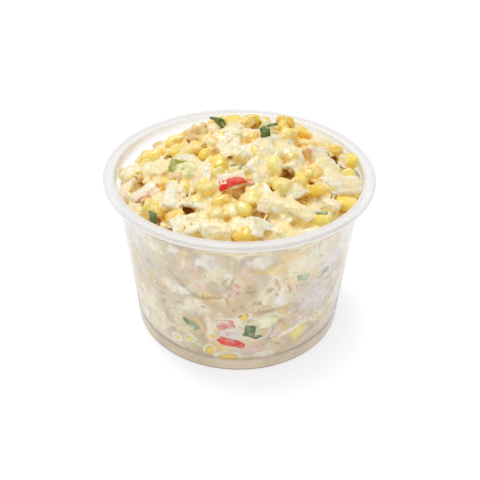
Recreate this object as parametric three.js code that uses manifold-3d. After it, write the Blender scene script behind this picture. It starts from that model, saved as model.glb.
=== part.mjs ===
// Crab salad heaped in a clear round deli cup. Millimetres, +Z up. The origin is on the table
// under the middle of the cup, and the side that is usually looked at faces -Y.
//
// Two pieces: the thin plastic cup, one wall from its foot ring to its rolled rim, and the
// salad, one heap out to its uneven outline: a core of dressing with sweetcorn kernels, boiled
// egg, crab stick and shreds of it, and cucumber pressed together in it, at their real sizes.

import * as THREE from "three";
import { mergeVertices } from "three/addons/utils/BufferGeometryUtils.js";
import Module from "manifold-3d";

const wasm = await Module();
wasm.setup();

// ---- Driving dimensions of the cup ----
const RIM_DIAMETER = 117;
const CUP_HEIGHT = 74.4;
const FOOT_DIAMETER = 96.2;
const SHOULDER_DIAMETER = 105.4; // outside, at the top of the tapered wall
const COLLAR_DIAMETER = 108.2; // outside, the straight band that a lid plugs into
const COLLAR_HEIGHT = 7.2;
const WALL = 0.8;
const LIP_DROP = 2.1; // how far the rolled edge turns down
const FLOOR_RISE = 2.4; // the floor stands this far off the table, inside the foot ring
const FOOT_WIDTH = 1.2;
const FLOOR_CORNER = 2.7; // how far the rounding between floor and wall reaches inwards
const ROUND_STEPS = 60;

// ---- Driving dimensions of the salad ----
const WALL_GAP = 0.3; // left between the salad and the plastic
const LEVEL_DROP = { front: 4, back: 14, left: 8, right: 4 }; // below the rim, at the wall
const DOME_RISE = 4; // over the rim, in the middle
const HILL = { x: 5, y: 10, rise: 10, radius: 32 }; // spooned on top of the dome
const CORE_DEPTH = 2.4; // the dressing lies this far under the heap's mean surface
const SIDE_RELIEF = 0.7; // and this far behind the pieces that are pressed to the wall
const HEAP_STEPS = 30; // divides ROUND_STEPS, so the heap's corners sit in the cup's
const TOP_PIECES = 108;
const TOP_SINK = 1.6; // the middle of an unnamed piece lies this far under the mean surface
const TOP_MARGIN = 2.5; // and this far from the wall at least
const SIDE_ROWS = 4;
const SIDE_PIECES_IN_ROW = 11;
const SIDE_SINK = 1.6; // behind the plastic

// Each food's own size, before it is made a little larger or smaller. A strip also bends: its
// ends hang this far under its middle.
const SIZES = {
  kernel: { long: 10, wide: 8.6, thick: 6.2 },
  egg: { long: 10.5, wide: 8, thick: 5.6 },
  crab: { long: 11, wide: 7.2, thick: 5.2 },
  cucumber: { long: 8.5, wide: 7, thick: 5.4 },
  strip: { long: 16, wide: 5.4, thick: 3 },
};
const STRIP_BEND = 2.4;

// Pieces that stand out on the top. x and y are over the middle of the cup, lift is the height
// of the piece's middle over the heap's mean surface, turn and tilt are in degrees, and stretch
// draws the piece out along its length.
const NOTABLE = [
  { kind: "kernel", x: -5.4, y: 18.4, lift: 0, turn: 38, tilt: 92, size: 1.15, stretch: 1.25 },
  { kind: "kernel", x: 5, y: 17, lift: -0.2, turn: 20, tilt: 25, size: 1 },
  { kind: "kernel", x: 19.5, y: 19, lift: 1, turn: 0, tilt: 50, size: 0.95 },
  { kind: "kernel", x: 26.5, y: 13.5, lift: 0.2, turn: 75, tilt: 85, size: 0.95 },
  { kind: "kernel", x: 20, y: 6.5, lift: -0.6, turn: 20, tilt: 30, size: 0.95 },
  { kind: "kernel", x: 28, y: 4.5, lift: -0.6, turn: 60, tilt: 70, size: 1 },
  { kind: "kernel", x: -17, y: 11, lift: -0.4, turn: 5, tilt: -122, size: 1.35, stretch: 0.9 },
  { kind: "kernel", x: -20, y: -1, lift: -0.4, turn: 90, tilt: 85, size: 1.05 },
  { kind: "kernel", x: 41, y: 12.5, lift: 0.2, turn: 30, tilt: 40, size: 1 },
  { kind: "kernel", x: 48, y: 7, lift: 0.8, turn: 120, tilt: 30, size: 0.95 },
  { kind: "kernel", x: -39, y: 10.5, lift: 0.6, turn: 35, tilt: 82, size: 1.35 },
  { kind: "kernel", x: -43.5, y: -3.5, lift: 0, turn: 20, tilt: -130, size: 0.95 },
  { kind: "kernel", x: -36.5, y: -29, lift: 0, turn: 70, tilt: 40, size: 1 },
  { kind: "kernel", x: -12.3, y: -24, lift: -0.4, turn: 10, tilt: 35, size: 1.1 },
  { kind: "kernel", x: -9.5, y: -13.5, lift: -0.6, turn: 80, tilt: 60, size: 1 },
  { kind: "kernel", x: -7, y: -32, lift: 0, turn: 30, tilt: 25, size: 1.05 },
  { kind: "kernel", x: 0.6, y: -37, lift: -0.2, turn: 140, tilt: 50, size: 1 },
  { kind: "kernel", x: 4, y: -30, lift: 0.2, turn: 70, tilt: 70, size: 0.95 },
  { kind: "kernel", x: 1.6, y: -47, lift: -0.2, turn: 90, tilt: 85, size: 0.95 },
  { kind: "kernel", x: 16.5, y: -22, lift: -0.4, turn: 0, tilt: 35, size: 1.05 },
  { kind: "kernel", x: 29.5, y: -12.5, lift: -0.4, turn: 130, tilt: 50, size: 1 },
  { kind: "kernel", x: 30.5, y: -21, lift: 0, turn: 20, tilt: 35, size: 0.95 },
  { kind: "kernel", x: 23.5, y: -18.5, lift: -0.4, turn: 60, tilt: 30, size: 0.9 },
  { kind: "kernel", x: 43.5, y: -23.5, lift: -0.4, turn: 85, tilt: 88, size: 0.95, stretch: 1.35 },
  { kind: "kernel", x: 32.5, y: -37, lift: 0, turn: 0, tilt: 30, size: 0.9 },
  { kind: "kernel", x: -28, y: -16.2, lift: 0.4, turn: -5, tilt: -122, size: 1.1, stretch: 0.9 },
  { kind: "egg", x: 12.5, y: -30, lift: -0.2, turn: -46, tilt: 6, size: 1, stretch: 1.5 },
  { kind: "egg", x: 22.5, y: -34, lift: 0, turn: -28, tilt: -8, size: 1, stretch: 1.5 },
  { kind: "egg", x: -20, y: -41, lift: -0.6, turn: 10, tilt: 10, size: 1.15, stretch: 1.2 },
  { kind: "egg", x: -8.5, y: -44.5, lift: -0.6, turn: -20, tilt: -10, size: 1, stretch: 1.2 },
  { kind: "egg", x: 8, y: -8, lift: -1, turn: 25, tilt: 5, size: 1.1, stretch: 1.3 },
  { kind: "egg", x: 37, y: -4, lift: -0.4, turn: 40, tilt: 0, size: 1.05, stretch: 1.1 },
  { kind: "egg", x: -35, y: -4, lift: 0.2, turn: -8, tilt: 14, size: 1.1, stretch: 1.4 },
  { kind: "strip", x: -16.5, y: -31.5, lift: 0.6, turn: -30, tilt: -20, size: 0.85 },
  { kind: "strip", x: 27.5, y: -44.5, lift: -0.2, turn: 22, tilt: 0, size: 1, stretch: 1.15 },
  { kind: "strip", x: 7.5, y: -42.5, lift: 1, turn: -8, tilt: 25, size: 0.75 },
  { kind: "strip", x: 5.5, y: 3, lift: 0.2, turn: -18, tilt: 10, size: 1.05, stretch: 1.15 },
  { kind: "cucumber", x: -22.5, y: -14, lift: 1, turn: 188, tilt: -15, size: 1.2, stretch: 1.5 },
  { kind: "cucumber", x: 12, y: 10.5, lift: 0.4, turn: 40, tilt: 40, size: 0.85 },
  { kind: "crab", x: -2.7, y: -22, lift: 0, turn: 12, tilt: 15, size: 0.9, stretch: 1.1 },
  { kind: "crab", x: 42, y: -14, lift: -0.2, turn: 38, tilt: 10, size: 1.3, stretch: 1.3 },
  { kind: "crab", x: 33, y: 1, lift: -0.4, turn: 40, tilt: 20, size: 1 },
  { kind: "crab", x: -38.5, y: -19, lift: -0.2, turn: 35, tilt: 15, size: 1.05 },
  { kind: "crab", x: -26, y: -24, lift: -0.2, turn: 85, tilt: 15, size: 1.2, stretch: 1.1 },
  { kind: "crab", x: -47, y: -12, lift: -0.2, turn: 80, tilt: -15, size: 0.95 },
];
const NOTABLE_CLEARANCE = 5.8; // no other top piece has its middle this near

// Every piece has a number that its shape and its lie are drawn from.
const FIRST_NUMBER = { top: 0, side: 500, notable: 900 };

const BODY_TOP_Z = CUP_HEIGHT - COLLAR_HEIGHT - 1.6;
const rimRadius = RIM_DIAMETER / 2;
const footRadius = FOOT_DIAMETER / 2;
const shoulderRadius = SHOULDER_DIAMETER / 2;
const collarRadius = COLLAR_DIAMETER / 2;
const floorTop = FLOOR_RISE + WALL;

// The outside of the tapered wall at a height.
const wallRadius = (z) =>
  footRadius + ((shoulderRadius - footRadius) * z) / BODY_TOP_Z;

// ---- Helpers ----

// A repeatable number from 0 to 1 for each piece and purpose.
function share(index, purpose) {
  const wave = Math.sin(index * 12.9898 + purpose * 78.233) * 43758.5453;
  return wave - Math.floor(wave);
}

// A closed geometry as a solid that can be joined and cut.
function solidOf(geometry) {
  const bare = geometry.clone();
  bare.deleteAttribute("normal");
  bare.deleteAttribute("uv");
  const merged = mergeVertices(bare, 1e-4);
  return new wasm.Manifold(
    new wasm.Mesh({
      numProp: 3,
      vertProperties: merged.attributes.position.array,
      triVerts: new Uint32Array(merged.index.array),
    }),
  );
}

function geometryOf(solid) {
  const mesh = solid.getMesh();
  const geometry = new THREE.BufferGeometry();
  const position = new THREE.BufferAttribute(mesh.vertProperties, 3);
  geometry.setAttribute("position", position);
  geometry.setIndex(new THREE.BufferAttribute(mesh.triVerts, 1));
  geometry.computeVertexNormals();
  return geometry;
}

// A profile of [radius, height] pairs turned about +Z.
function turned(profile, steps) {
  const points = profile.map(([radius, z]) => new THREE.Vector2(radius, z));
  return new THREE.LatheGeometry(points, steps).rotateX(Math.PI / 2);
}

// ---- The cup ----

function cup() {
  const lipUnder = CUP_HEIGHT - LIP_DROP;
  const collarLow = CUP_HEIGHT - COLLAR_HEIGHT;
  const collarInside = collarRadius - WALL;
  const profile = [
    // up the outside
    [0, FLOOR_RISE],
    [footRadius - FOOT_WIDTH - 1.2, FLOOR_RISE],
    [footRadius - FOOT_WIDTH, FLOOR_RISE - 0.9],
    [footRadius - FOOT_WIDTH, 0],
    [footRadius - 0.25, 0],
    [footRadius + 0.05, 0.4],
    [shoulderRadius, BODY_TOP_Z],
    [collarRadius - 0.1, collarLow],
    [collarRadius, lipUnder + 0.4],
    [collarRadius + 0.7, CUP_HEIGHT - WALL],
    // the flange, its rolled edge and its flat top
    [rimRadius - 1.2, CUP_HEIGHT - WALL],
    [rimRadius - WALL, CUP_HEIGHT - WALL - 0.4],
    [rimRadius - WALL, lipUnder],
    [rimRadius - 0.1, lipUnder],
    [rimRadius, CUP_HEIGHT - 1],
    [rimRadius - 0.4, CUP_HEIGHT - 0.25],
    [rimRadius - 1.2, CUP_HEIGHT],
    [collarInside + 1, CUP_HEIGHT],
    // down the inside
    [collarInside + 0.2, CUP_HEIGHT - 0.5],
    [collarInside, CUP_HEIGHT - 1.4],
    [collarInside - 0.1, collarLow],
    [shoulderRadius - WALL, BODY_TOP_Z],
    [wallRadius(6) - WALL, 6],
    [wallRadius(4) - WALL - 0.9, 3.9],
    [wallRadius(3) - WALL - FLOOR_CORNER, floorTop],
    [0, floorTop],
  ];
  return turned(profile, ROUND_STEPS);
}

// ---- The heap ----

// The height of the salad's surface over a point, before any one piece stands out of it.
function moundHeight(x, y) {
  const reach = collarRadius - WALL;
  const radius = Math.hypot(x, y);
  const along = radius > 0 ? x / radius : 0;
  const away = radius > 0 ? y / radius : 0;
  const drop =
    LEVEL_DROP[away > 0 ? "back" : "front"] * away ** 2 +
    LEVEL_DROP[along > 0 ? "right" : "left"] * along ** 2;
  const dome = (DOME_RISE + drop) * (1 - Math.min(radius / reach, 1) ** 2.2);
  const fromHill = Math.hypot(x - HILL.x, y - HILL.y) / HILL.radius;
  return CUP_HEIGHT - drop + dome + HILL.rise * Math.exp(-(fromHill ** 4));
}

// The room inside the cup, less the gap, and straight up past the rim. It trims the heap.
function room() {
  const top = CUP_HEIGHT + 30;
  const inset = WALL + WALL_GAP;
  const profile = [
    [0, floorTop + WALL_GAP],
    [wallRadius(3) - inset - FLOOR_CORNER, floorTop + WALL_GAP],
    [wallRadius(4) - inset - 0.9, 4.2],
    [wallRadius(6) - inset, 6.2],
    [shoulderRadius - inset, BODY_TOP_Z],
    [collarRadius - inset - 0.1, CUP_HEIGHT - COLLAR_HEIGHT],
    [collarRadius - inset, CUP_HEIGHT],
    [collarRadius - inset, top],
    [0, top],
  ];
  return solidOf(turned(profile, HEAP_STEPS));
}

// The dressing that everything lies in: a turned body whose top is bent to the mound.
function core() {
  const inset = WALL + WALL_GAP + SIDE_RELIEF;
  const topRings = 8;
  const mark = 1000; // marks the points of the top until they get their height
  const profile = [
    [0, floorTop + WALL_GAP],
    [wallRadius(3) - inset - 4, floorTop + WALL_GAP],
    [wallRadius(8) - inset - 0.6, 8],
    [shoulderRadius - inset, BODY_TOP_Z - 3],
  ];
  const edge = shoulderRadius - inset;
  for (let ring = topRings; ring > 0; ring -= 1) {
    profile.push([(edge * ring) / topRings, mark]);
  }
  profile.push([0, mark]);
  const geometry = turned(profile, HEAP_STEPS);
  const position = geometry.attributes.position;
  for (let i = 0; i < position.count; i += 1) {
    if (position.getZ(i) < mark / 2) continue;
    const x = position.getX(i);
    const y = position.getY(i);
    const swell = 0.6 * Math.sin(x * 0.55 + 1) * Math.cos(y * 0.6);
    position.setZ(i, moundHeight(x, y) - CORE_DEPTH + swell);
  }
  return solidOf(geometry);
}

// A sweetcorn kernel: a flattened wedge with a domed crown at +Z and a narrow root.
function kernelForm({ long, wide, thick }) {
  const half = long / 2;
  const profile = [
    [0, -half],
    [wide * 0.27, -half * 0.9],
    [wide / 2, half * 0.3],
    [wide * 0.34, half * 0.85],
    [0, half],
  ];
  return turned(profile, 6).scale(1, thick / wide, 1);
}

// A piece cut with a knife: a block whose corners are each a little out of square.
function cutForm({ long, wide, thick }, index) {
  const geometry = new THREE.BoxGeometry(long, wide, thick);
  const position = geometry.attributes.position;
  for (let i = 0; i < position.count; i += 1) {
    const x = position.getX(i);
    const y = position.getY(i);
    const z = position.getZ(i);
    const corner = index * 8 + (x > 0 ? 1 : 0) + (y > 0 ? 2 : 0) + (z > 0 ? 4 : 0);
    const pull = (purpose) => 0.74 + 0.32 * share(corner, purpose);
    position.setXYZ(i, x * pull(1), y * pull(2), z * pull(3));
  }
  return geometry;
}

// A shred or a thin slice, bent over what it lies on.
function stripForm({ long, wide, thick }) {
  const geometry = new THREE.BoxGeometry(long, wide, thick, 4, 1, 1);
  const position = geometry.attributes.position;
  for (let i = 0; i < position.count; i += 1) {
    const along = position.getX(i) / (long / 2);
    const narrowing = 1 - 0.3 * along ** 2;
    position.setY(i, position.getY(i) * narrowing);
    position.setZ(i, position.getZ(i) * narrowing - STRIP_BEND * along ** 2);
  }
  return geometry;
}

function formOf(kind, index) {
  if (kind === "kernel") return kernelForm(SIZES.kernel);
  if (kind === "strip") return stripForm(SIZES.strip);
  return cutForm(SIZES[kind], index);
}

// Which food an unnamed piece is: half the pieces that show are sweetcorn.
function kindOf(index) {
  const draw = share(index, 4);
  if (draw < 0.52) return "kernel";
  if (draw < 0.7) return "egg";
  if (draw < 0.8) return "strip";
  return draw < 0.95 ? "crab" : "cucumber";
}

// One piece as a solid: turned about the outward direction, tipped away from it, and put down.
function laid({ kind, index, place, outward, turn, tilt, size, stretch = 1 }) {
  const form = formOf(kind, index);
  if (kind === "kernel") form.scale(1, 1, stretch);
  else form.scale(stretch, 1, 1);
  const facing = new THREE.Quaternion().setFromUnitVectors(
    new THREE.Vector3(0, 0, 1),
    outward,
  );
  const turning = new THREE.Quaternion().setFromAxisAngle(
    new THREE.Vector3(0, 0, 1),
    THREE.MathUtils.degToRad(turn),
  );
  const tipping = new THREE.Quaternion().setFromAxisAngle(
    new THREE.Vector3(1, 0, 0),
    THREE.MathUtils.degToRad(tilt),
  );
  const matrix = new THREE.Matrix4().compose(
    place,
    facing.multiply(turning).multiply(tipping),
    new THREE.Vector3(size, size, size),
  );
  return solidOf(form.applyMatrix4(matrix));
}

// How an unnamed piece lies: kernels mostly on their sides, cut pieces mostly flat.
function drawn(index) {
  const kind = kindOf(index);
  const upright = share(index, 5) < 0.3;
  const lean = share(index, 6);
  const kernelTilt = upright ? 10 + 40 * lean : 70 + 40 * lean;
  return {
    kind,
    index,
    turn: 360 * share(index, 7),
    tilt: kind === "kernel" ? kernelTilt : 50 * (lean - 0.5),
    size: 0.86 + 0.28 * share(index, 8),
  };
}

// The way the heap's mean surface faces over a point.
function outwardOnMound(x, y) {
  const step = 1;
  return new THREE.Vector3(
    moundHeight(x - step, y) - moundHeight(x + step, y),
    moundHeight(x, y - step) - moundHeight(x, y + step),
    2 * step,
  ).normalize();
}

function onMound(piece, x, y, lift) {
  const place = new THREE.Vector3(x, y, moundHeight(x, y) + lift);
  return laid({ ...piece, place, outward: outwardOnMound(x, y) });
}

// The named pieces of the top, and between them the others, spread by a sunflower spiral.
function topPieces() {
  const goldenAngle = Math.PI * (3 - Math.sqrt(5));
  const reach = collarRadius - WALL - TOP_MARGIN;
  const pieces = NOTABLE.map((piece, n) =>
    onMound({ ...piece, index: FIRST_NUMBER.notable + n }, piece.x, piece.y, piece.lift),
  );
  for (let n = 0; n < TOP_PIECES; n += 1) {
    const index = FIRST_NUMBER.top + n;
    const radius = reach * Math.sqrt((n + 0.5) / TOP_PIECES);
    const x = radius * Math.cos(n * goldenAngle);
    const y = radius * Math.sin(n * goldenAngle);
    const crowded = NOTABLE.some(
      (other) => Math.hypot(x - other.x, y - other.y) < NOTABLE_CLEARANCE,
    );
    if (crowded) continue;
    const sink = TOP_SINK + 1.6 * (share(index, 9) - 0.5);
    pieces.push(onMound(drawn(index), x, y, -sink));
  }
  return pieces;
}

// The pieces that are pressed flat to the wall, in staggered rows.
function sidePieces() {
  const pieces = [];
  const low = 11;
  const high = BODY_TOP_Z - 6;
  for (let row = 0; row < SIDE_ROWS; row += 1) {
    for (let n = 0; n < SIDE_PIECES_IN_ROW; n += 1) {
      const index = FIRST_NUMBER.side + row * SIDE_PIECES_IN_ROW + n;
      const wander = 0.7 * (share(index, 10) - 0.5);
      const step = n + (row % 2) / 2 + wander;
      const angle = (step / SIDE_PIECES_IN_ROW) * 2 * Math.PI;
      const rise = (row + 0.6 * share(index, 11)) / (SIDE_ROWS - 0.4);
      const z = low + (high - low) * rise;
      const outward = new THREE.Vector3(Math.cos(angle), Math.sin(angle), 0);
      const radius = wallRadius(z) - WALL - SIDE_SINK;
      const place = outward.clone().multiplyScalar(radius).setZ(z);
      pieces.push(laid({ ...drawn(index), place, outward }));
    }
  }
  return pieces;
}

// The core and its pieces as one solid. Hollows that the joining seals are filled.
function heap() {
  const everything = [core(), ...topPieces(), ...sidePieces()];
  const joined = wasm.Manifold.union(everything).intersect(room());
  const bodies = joined.decompose().sort((a, b) => b.volume() - a.volume());
  return geometryOf(bodies[0]);
}

// ---- The part ----

const plastic = new THREE.MeshStandardMaterial({
  color: 0xe9e9ec,
  roughness: 0.12,
  metalness: 0,
  transparent: true,
  opacity: 0.35,
});
const dressing = new THREE.MeshStandardMaterial({
  color: 0xf4e3b2,
  roughness: 0.45,
  metalness: 0,
});

const part = new THREE.Group();

const cupMesh = new THREE.Mesh(cup(), plastic);
cupMesh.name = "cup";
part.add(cupMesh);

const saladMesh = new THREE.Mesh(heap(), dressing);
saladMesh.name = "salad";
part.add(saladMesh);

export default part;
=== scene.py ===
# %% [markdown]
# # Crab salad heaped in a clear cup
#
# A thin, clear plastic cup holds a heap of sweetcorn, boiled egg, crab stick, cucumber and
# chopped leaf, all coated in a pale, creamy dressing. This file dresses the plain solids of that
# cup and heap. It is read from top to bottom: each step says what the real thing is, how it could
# be made, and why it is made this way.
#
# Everything is in metres. The cup stands on z = 0 with its middle at x = y = 0, and the side that
# the camera sees faces -Y.

# %% Load the fixed frame
import math

import bmesh
import bpy
from mathutils import Euler, Matrix, Quaternion, Vector, noise
from mathutils.bvhtree import BVHTree


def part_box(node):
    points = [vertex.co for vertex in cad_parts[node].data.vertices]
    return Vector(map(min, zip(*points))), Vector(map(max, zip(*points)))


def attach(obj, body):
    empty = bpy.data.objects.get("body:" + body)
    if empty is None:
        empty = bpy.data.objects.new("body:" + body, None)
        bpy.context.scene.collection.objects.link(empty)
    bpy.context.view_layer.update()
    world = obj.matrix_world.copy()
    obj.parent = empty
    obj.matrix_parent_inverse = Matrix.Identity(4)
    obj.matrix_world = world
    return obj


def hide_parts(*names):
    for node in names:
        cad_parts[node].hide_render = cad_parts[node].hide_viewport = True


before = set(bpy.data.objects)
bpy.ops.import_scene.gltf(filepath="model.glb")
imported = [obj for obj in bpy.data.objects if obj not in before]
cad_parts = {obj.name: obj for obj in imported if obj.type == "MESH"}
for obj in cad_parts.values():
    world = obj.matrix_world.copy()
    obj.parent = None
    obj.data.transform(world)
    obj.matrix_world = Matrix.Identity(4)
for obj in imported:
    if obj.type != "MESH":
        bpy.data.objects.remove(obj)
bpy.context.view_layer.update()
cup_low, cup_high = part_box("cup")
salad_low, salad_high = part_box("salad")
MM = 0.001
print("cup", [round(v / MM, 1) for v in cup_high - cup_low], "mm")
print("salad", [round(v / MM, 1) for v in salad_high - salad_low], "mm")

# %% [markdown]
# ## Camera, floor and light
#
# The photo was taken from in front and 36 degrees above, close enough for the cup's foot to look
# smaller than its rim. The camera comes first, because every later look is seen through it.
# A lens of 51 mm at 318 mm gives the same tapering. The light is that of a white light table: the
# floor glows a little, so hardly a real shadow falls on it and the side of the cup gets light from
# below; its glow is weaker round the cup's foot, a painted soft contact shadow. The world is nearly
# white, and one soft sun gives the food its shape and its highlights.

# %% Camera at the photo's angle
CAMERA_TILT = math.radians(36.16)
CAMERA_DISTANCE = 318.3 * MM
CAMERA_AIM_Z = 35 * MM
CAMERA_ROLL = math.radians(0.79)
FRAME_SIZE = 480
FRAME_CENTRE = (238.56, 240.78)  # pixels of the photo that the lens axis goes through

camera_data = bpy.data.cameras.new("camera")
camera_data.lens = 51.28
camera_data.sensor_width = 36
camera_data.shift_x = (FRAME_SIZE / 2 - FRAME_CENTRE[0]) / FRAME_SIZE
camera_data.shift_y = (FRAME_CENTRE[1] - FRAME_SIZE / 2) / FRAME_SIZE
camera_data.clip_start = 0.01
camera = bpy.data.objects.new("camera", camera_data)
bpy.context.scene.collection.objects.link(camera)
camera_place = Vector((
    0,
    -CAMERA_DISTANCE * math.cos(CAMERA_TILT),
    CAMERA_AIM_Z + CAMERA_DISTANCE * math.sin(CAMERA_TILT),
))
camera.matrix_world = (
    Matrix.Translation(camera_place)
    @ Euler((math.pi / 2 - CAMERA_TILT, 0, 0)).to_matrix().to_4x4()
    @ Matrix.Rotation(CAMERA_ROLL, 4, "Z")
)
bpy.context.scene.camera = camera
print("camera at", [round(v, 3) for v in camera_place])

# %% Floor, world and lamps
FLOOR_SIZE = 6.0
# The weaker glow next to the cup is a painted soft contact shadow.
FLOOR_GLOW = (0.59, 0.69)  # next to the cup, and away from it
GLOW_RADIUS = (46 * MM, 72 * MM)
GLOW_COLOUR = (0.97, 0.98, 1, 1)
FLOOR_COLOUR = (0.52, 0.52, 0.53, 1)
WORLD_STRENGTH = 0.62
SUN_STRENGTH = 1.5
SUN_ANGLE = math.radians(24)


def floor_piece():
    bm = bmesh.new()
    bmesh.ops.create_grid(bm, x_segments=1, y_segments=1, size=FLOOR_SIZE / 2)
    mesh = bpy.data.meshes.new("floor")
    bm.to_mesh(mesh)
    bm.free()
    material = bpy.data.materials.new("light_table")
    material.use_nodes = True
    shader = material.node_tree.nodes["Principled BSDF"]
    shader.inputs["Base Color"].default_value = FLOOR_COLOUR
    shader.inputs["Roughness"].default_value = 0.9
    shader.inputs["Specular IOR Level"].default_value = 0.1
    shader.inputs["Emission Color"].default_value = GLOW_COLOUR
    nodes, links = material.node_tree.nodes, material.node_tree.links
    place = nodes.new("ShaderNodeTexCoord")
    radius = nodes.new("ShaderNodeVectorMath")
    radius.operation = "LENGTH"
    # Less glow next to the cup's foot: a painted soft contact shadow.
    glow = nodes.new("ShaderNodeMapRange")
    glow.interpolation_type = "SMOOTHSTEP"
    for name, value in zip(("From Min", "From Max", "To Min", "To Max"), GLOW_RADIUS + FLOOR_GLOW):
        glow.inputs[name].default_value = value
    links.new(place.outputs["Object"], radius.inputs[0])
    links.new(radius.outputs["Value"], glow.inputs["Value"])
    links.new(glow.outputs["Result"], shader.inputs["Emission Strength"])
    mesh.materials.append(material)
    floor = bpy.data.objects.new("floor", mesh)
    bpy.context.scene.collection.objects.link(floor)


def lamp(name, kind, place, strength):
    """A lamp that is aimed at the middle of the cup."""
    data = bpy.data.lights.new(name, kind)
    data.energy = strength
    lamp_object = bpy.data.objects.new(name, data)
    lamp_object.location = place
    aim = Vector((0, 0, 0.05)) - Vector(place)
    lamp_object.rotation_euler = aim.to_track_quat("-Z", "Y").to_euler()
    bpy.context.scene.collection.objects.link(lamp_object)
    return data


floor_piece()
world = bpy.data.worlds.new("studio")
world.use_nodes = True
world.node_tree.nodes["Background"].inputs["Color"].default_value = (1, 1, 1, 1)
world.node_tree.nodes["Background"].inputs["Strength"].default_value = WORLD_STRENGTH
bpy.context.scene.world = world
lamp("sun", "SUN", (-0.14, 0.18, 0.75), SUN_STRENGTH).angle = SUN_ANGLE
bpy.context.scene.view_settings.view_transform = "Standard"
bpy.context.scene.view_settings.look = "None"
print("light", WORLD_STRENGTH, "from the world and", SUN_STRENGTH, "from the sun")

# %% [markdown]
# ## The cup
#
# A real deli cup is blown from one sheet of polypropylene. The wall tapers down to a foot ring,
# a straight collar near the top takes the lid's plug, and the edge is rolled outwards and down.
# It could be a stack of cones, but one outline turned about the axis gives every step of it with
# an even wall. The outline is a closed loop, up the outside and down the inside, so `spin` makes
# a closed shell at once.

# %% Driving sizes of the cup, in millimetres
CUP_HEIGHT = cup_high.z / MM
RIM_RADIUS = cup_high.x / MM
FOOT_RADIUS = 48.1
SHOULDER_RADIUS = 52.7
COLLAR_RADIUS = 54.1
COLLAR_HEIGHT = 7.2
WALL = 0.8
LIP_DROP = 2.1
FLOOR_RISE = 2.4
FOOT_WIDTH = 1.2
FOOT_TOP = 7.6  # the plastic is thicker below here
BODY_TOP_Z = CUP_HEIGHT - COLLAR_HEIGHT - 1.6
FLOOR_TOP = FLOOR_RISE + WALL
CUP_STEPS = 144


def wall_radius(z):
    """The outside of the tapered wall at a height."""
    return FOOT_RADIUS + (SHOULDER_RADIUS - FOOT_RADIUS) * z / BODY_TOP_Z


def inner_radius(z):
    """The inside of the cup at a height, from the rounded corner of its floor to its rim."""
    if z > BODY_TOP_Z:
        rise = min((z - BODY_TOP_Z) / 1.6, 1)
        return SHOULDER_RADIUS - WALL + rise * (COLLAR_RADIUS - 0.1 - SHOULDER_RADIUS)
    corner = max(0, (6 - z) / (6 - FLOOR_TOP))
    return wall_radius(z) - WALL - 2.7 * min(corner, 1) ** 2


# %% Turn the cup
def arc(centre, radius, start, end, steps):
    """Points of an arc in the outline, from one angle to another in degrees."""
    angles = [math.radians(start + (end - start) * i / steps) for i in range(steps + 1)]
    return [(centre[0] + radius * math.cos(a), centre[1] + radius * math.sin(a)) for a in angles]


def cup_outline():
    lip_under = CUP_HEIGHT - LIP_DROP
    collar_low = CUP_HEIGHT - COLLAR_HEIGHT
    outside = [
        (0.001, FLOOR_RISE),
        (FOOT_RADIUS - FOOT_WIDTH - 1.2, FLOOR_RISE),
        (FOOT_RADIUS - FOOT_WIDTH, FLOOR_RISE - 0.9),
        (FOOT_RADIUS - FOOT_WIDTH, 0),
        *arc((FOOT_RADIUS - 0.35, 0.4), 0.4, -90, 0, 3),
        *((wall_radius(z), z) for z in (0.9, FOOT_TOP, 20)),
        (wall_radius(45), 45),
        (SHOULDER_RADIUS, BODY_TOP_Z),
        *arc((COLLAR_RADIUS - 1.1, collar_low), 1, -40, 0, 3),
        (COLLAR_RADIUS, lip_under + 0.4),
        (COLLAR_RADIUS + 0.7, CUP_HEIGHT - WALL),
    ]
    rolled_edge = [
        (RIM_RADIUS - 1.2, CUP_HEIGHT - WALL),
        (RIM_RADIUS - WALL, CUP_HEIGHT - WALL - 0.4),
        (RIM_RADIUS - WALL, lip_under),
        (RIM_RADIUS - 0.1, lip_under),
        *arc((RIM_RADIUS - 1, CUP_HEIGHT - 1), 1, 0, 90, 5),
        (RIM_RADIUS - 2.1, CUP_HEIGHT - 0.12),
        (RIM_RADIUS - 2.6, CUP_HEIGHT - 0.3),
        (COLLAR_RADIUS + 0.9, CUP_HEIGHT - 0.3),
    ]
    inside = [
        *arc((COLLAR_RADIUS + 0.3, CUP_HEIGHT - 1.4), 1.1, 90, 180, 4),
        (COLLAR_RADIUS - WALL - 0.1, collar_low),
        *arc((SHOULDER_RADIUS - WALL + 0.5, BODY_TOP_Z), 0.5, 120, 180, 2),
        (wall_radius(45) - WALL, 45),
        (wall_radius(20) - WALL, 20),
        *((inner_radius(z), z) for z in (6, 5, 4.2, 3.6, 3.3, FLOOR_TOP + 0.01)),
        (0.001, FLOOR_TOP),
    ]
    return outside + rolled_edge + inside


def linked(name, bm, smooth=True):
    """The finished bmesh as an object of the scene, with its place in its mesh."""
    bmesh.ops.recalc_face_normals(bm, faces=bm.faces)
    mesh = bpy.data.meshes.new(name)
    bm.to_mesh(mesh)
    bm.free()
    if smooth:
        mesh.shade_smooth()
    piece = bpy.data.objects.new(name, mesh)
    bpy.context.scene.collection.objects.link(piece)
    print(name, len(mesh.polygons), "faces")
    return piece


def clear_cup():
    bm = bmesh.new()
    points = [bm.verts.new((r * MM, 0, z * MM)) for r, z in cup_outline()]
    edges = [bm.edges.new(pair) for pair in zip(points, points[1:] + points[:1])]
    bmesh.ops.spin(
        bm, geom=points + edges, axis=(0, 0, 1), cent=(0, 0, 0),
        angle=2 * math.pi, steps=CUP_STEPS, use_merge=True,
    )
    bmesh.ops.remove_doubles(bm, verts=bm.verts, dist=0.02 * MM)
    thick = bm.verts.layers.float.new("thick")
    foot = bm.verts.layers.float.new("foot")
    for v in bm.verts:
        z = v.co.z / MM
        v[thick] = 1.0 if z > CUP_HEIGHT - COLLAR_HEIGHT + 0.5 else 0.0
        v[foot] = max(0, 1 - z / FOOT_TOP)
    return linked("clear_cup", bm)


cup = clear_cup()

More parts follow.
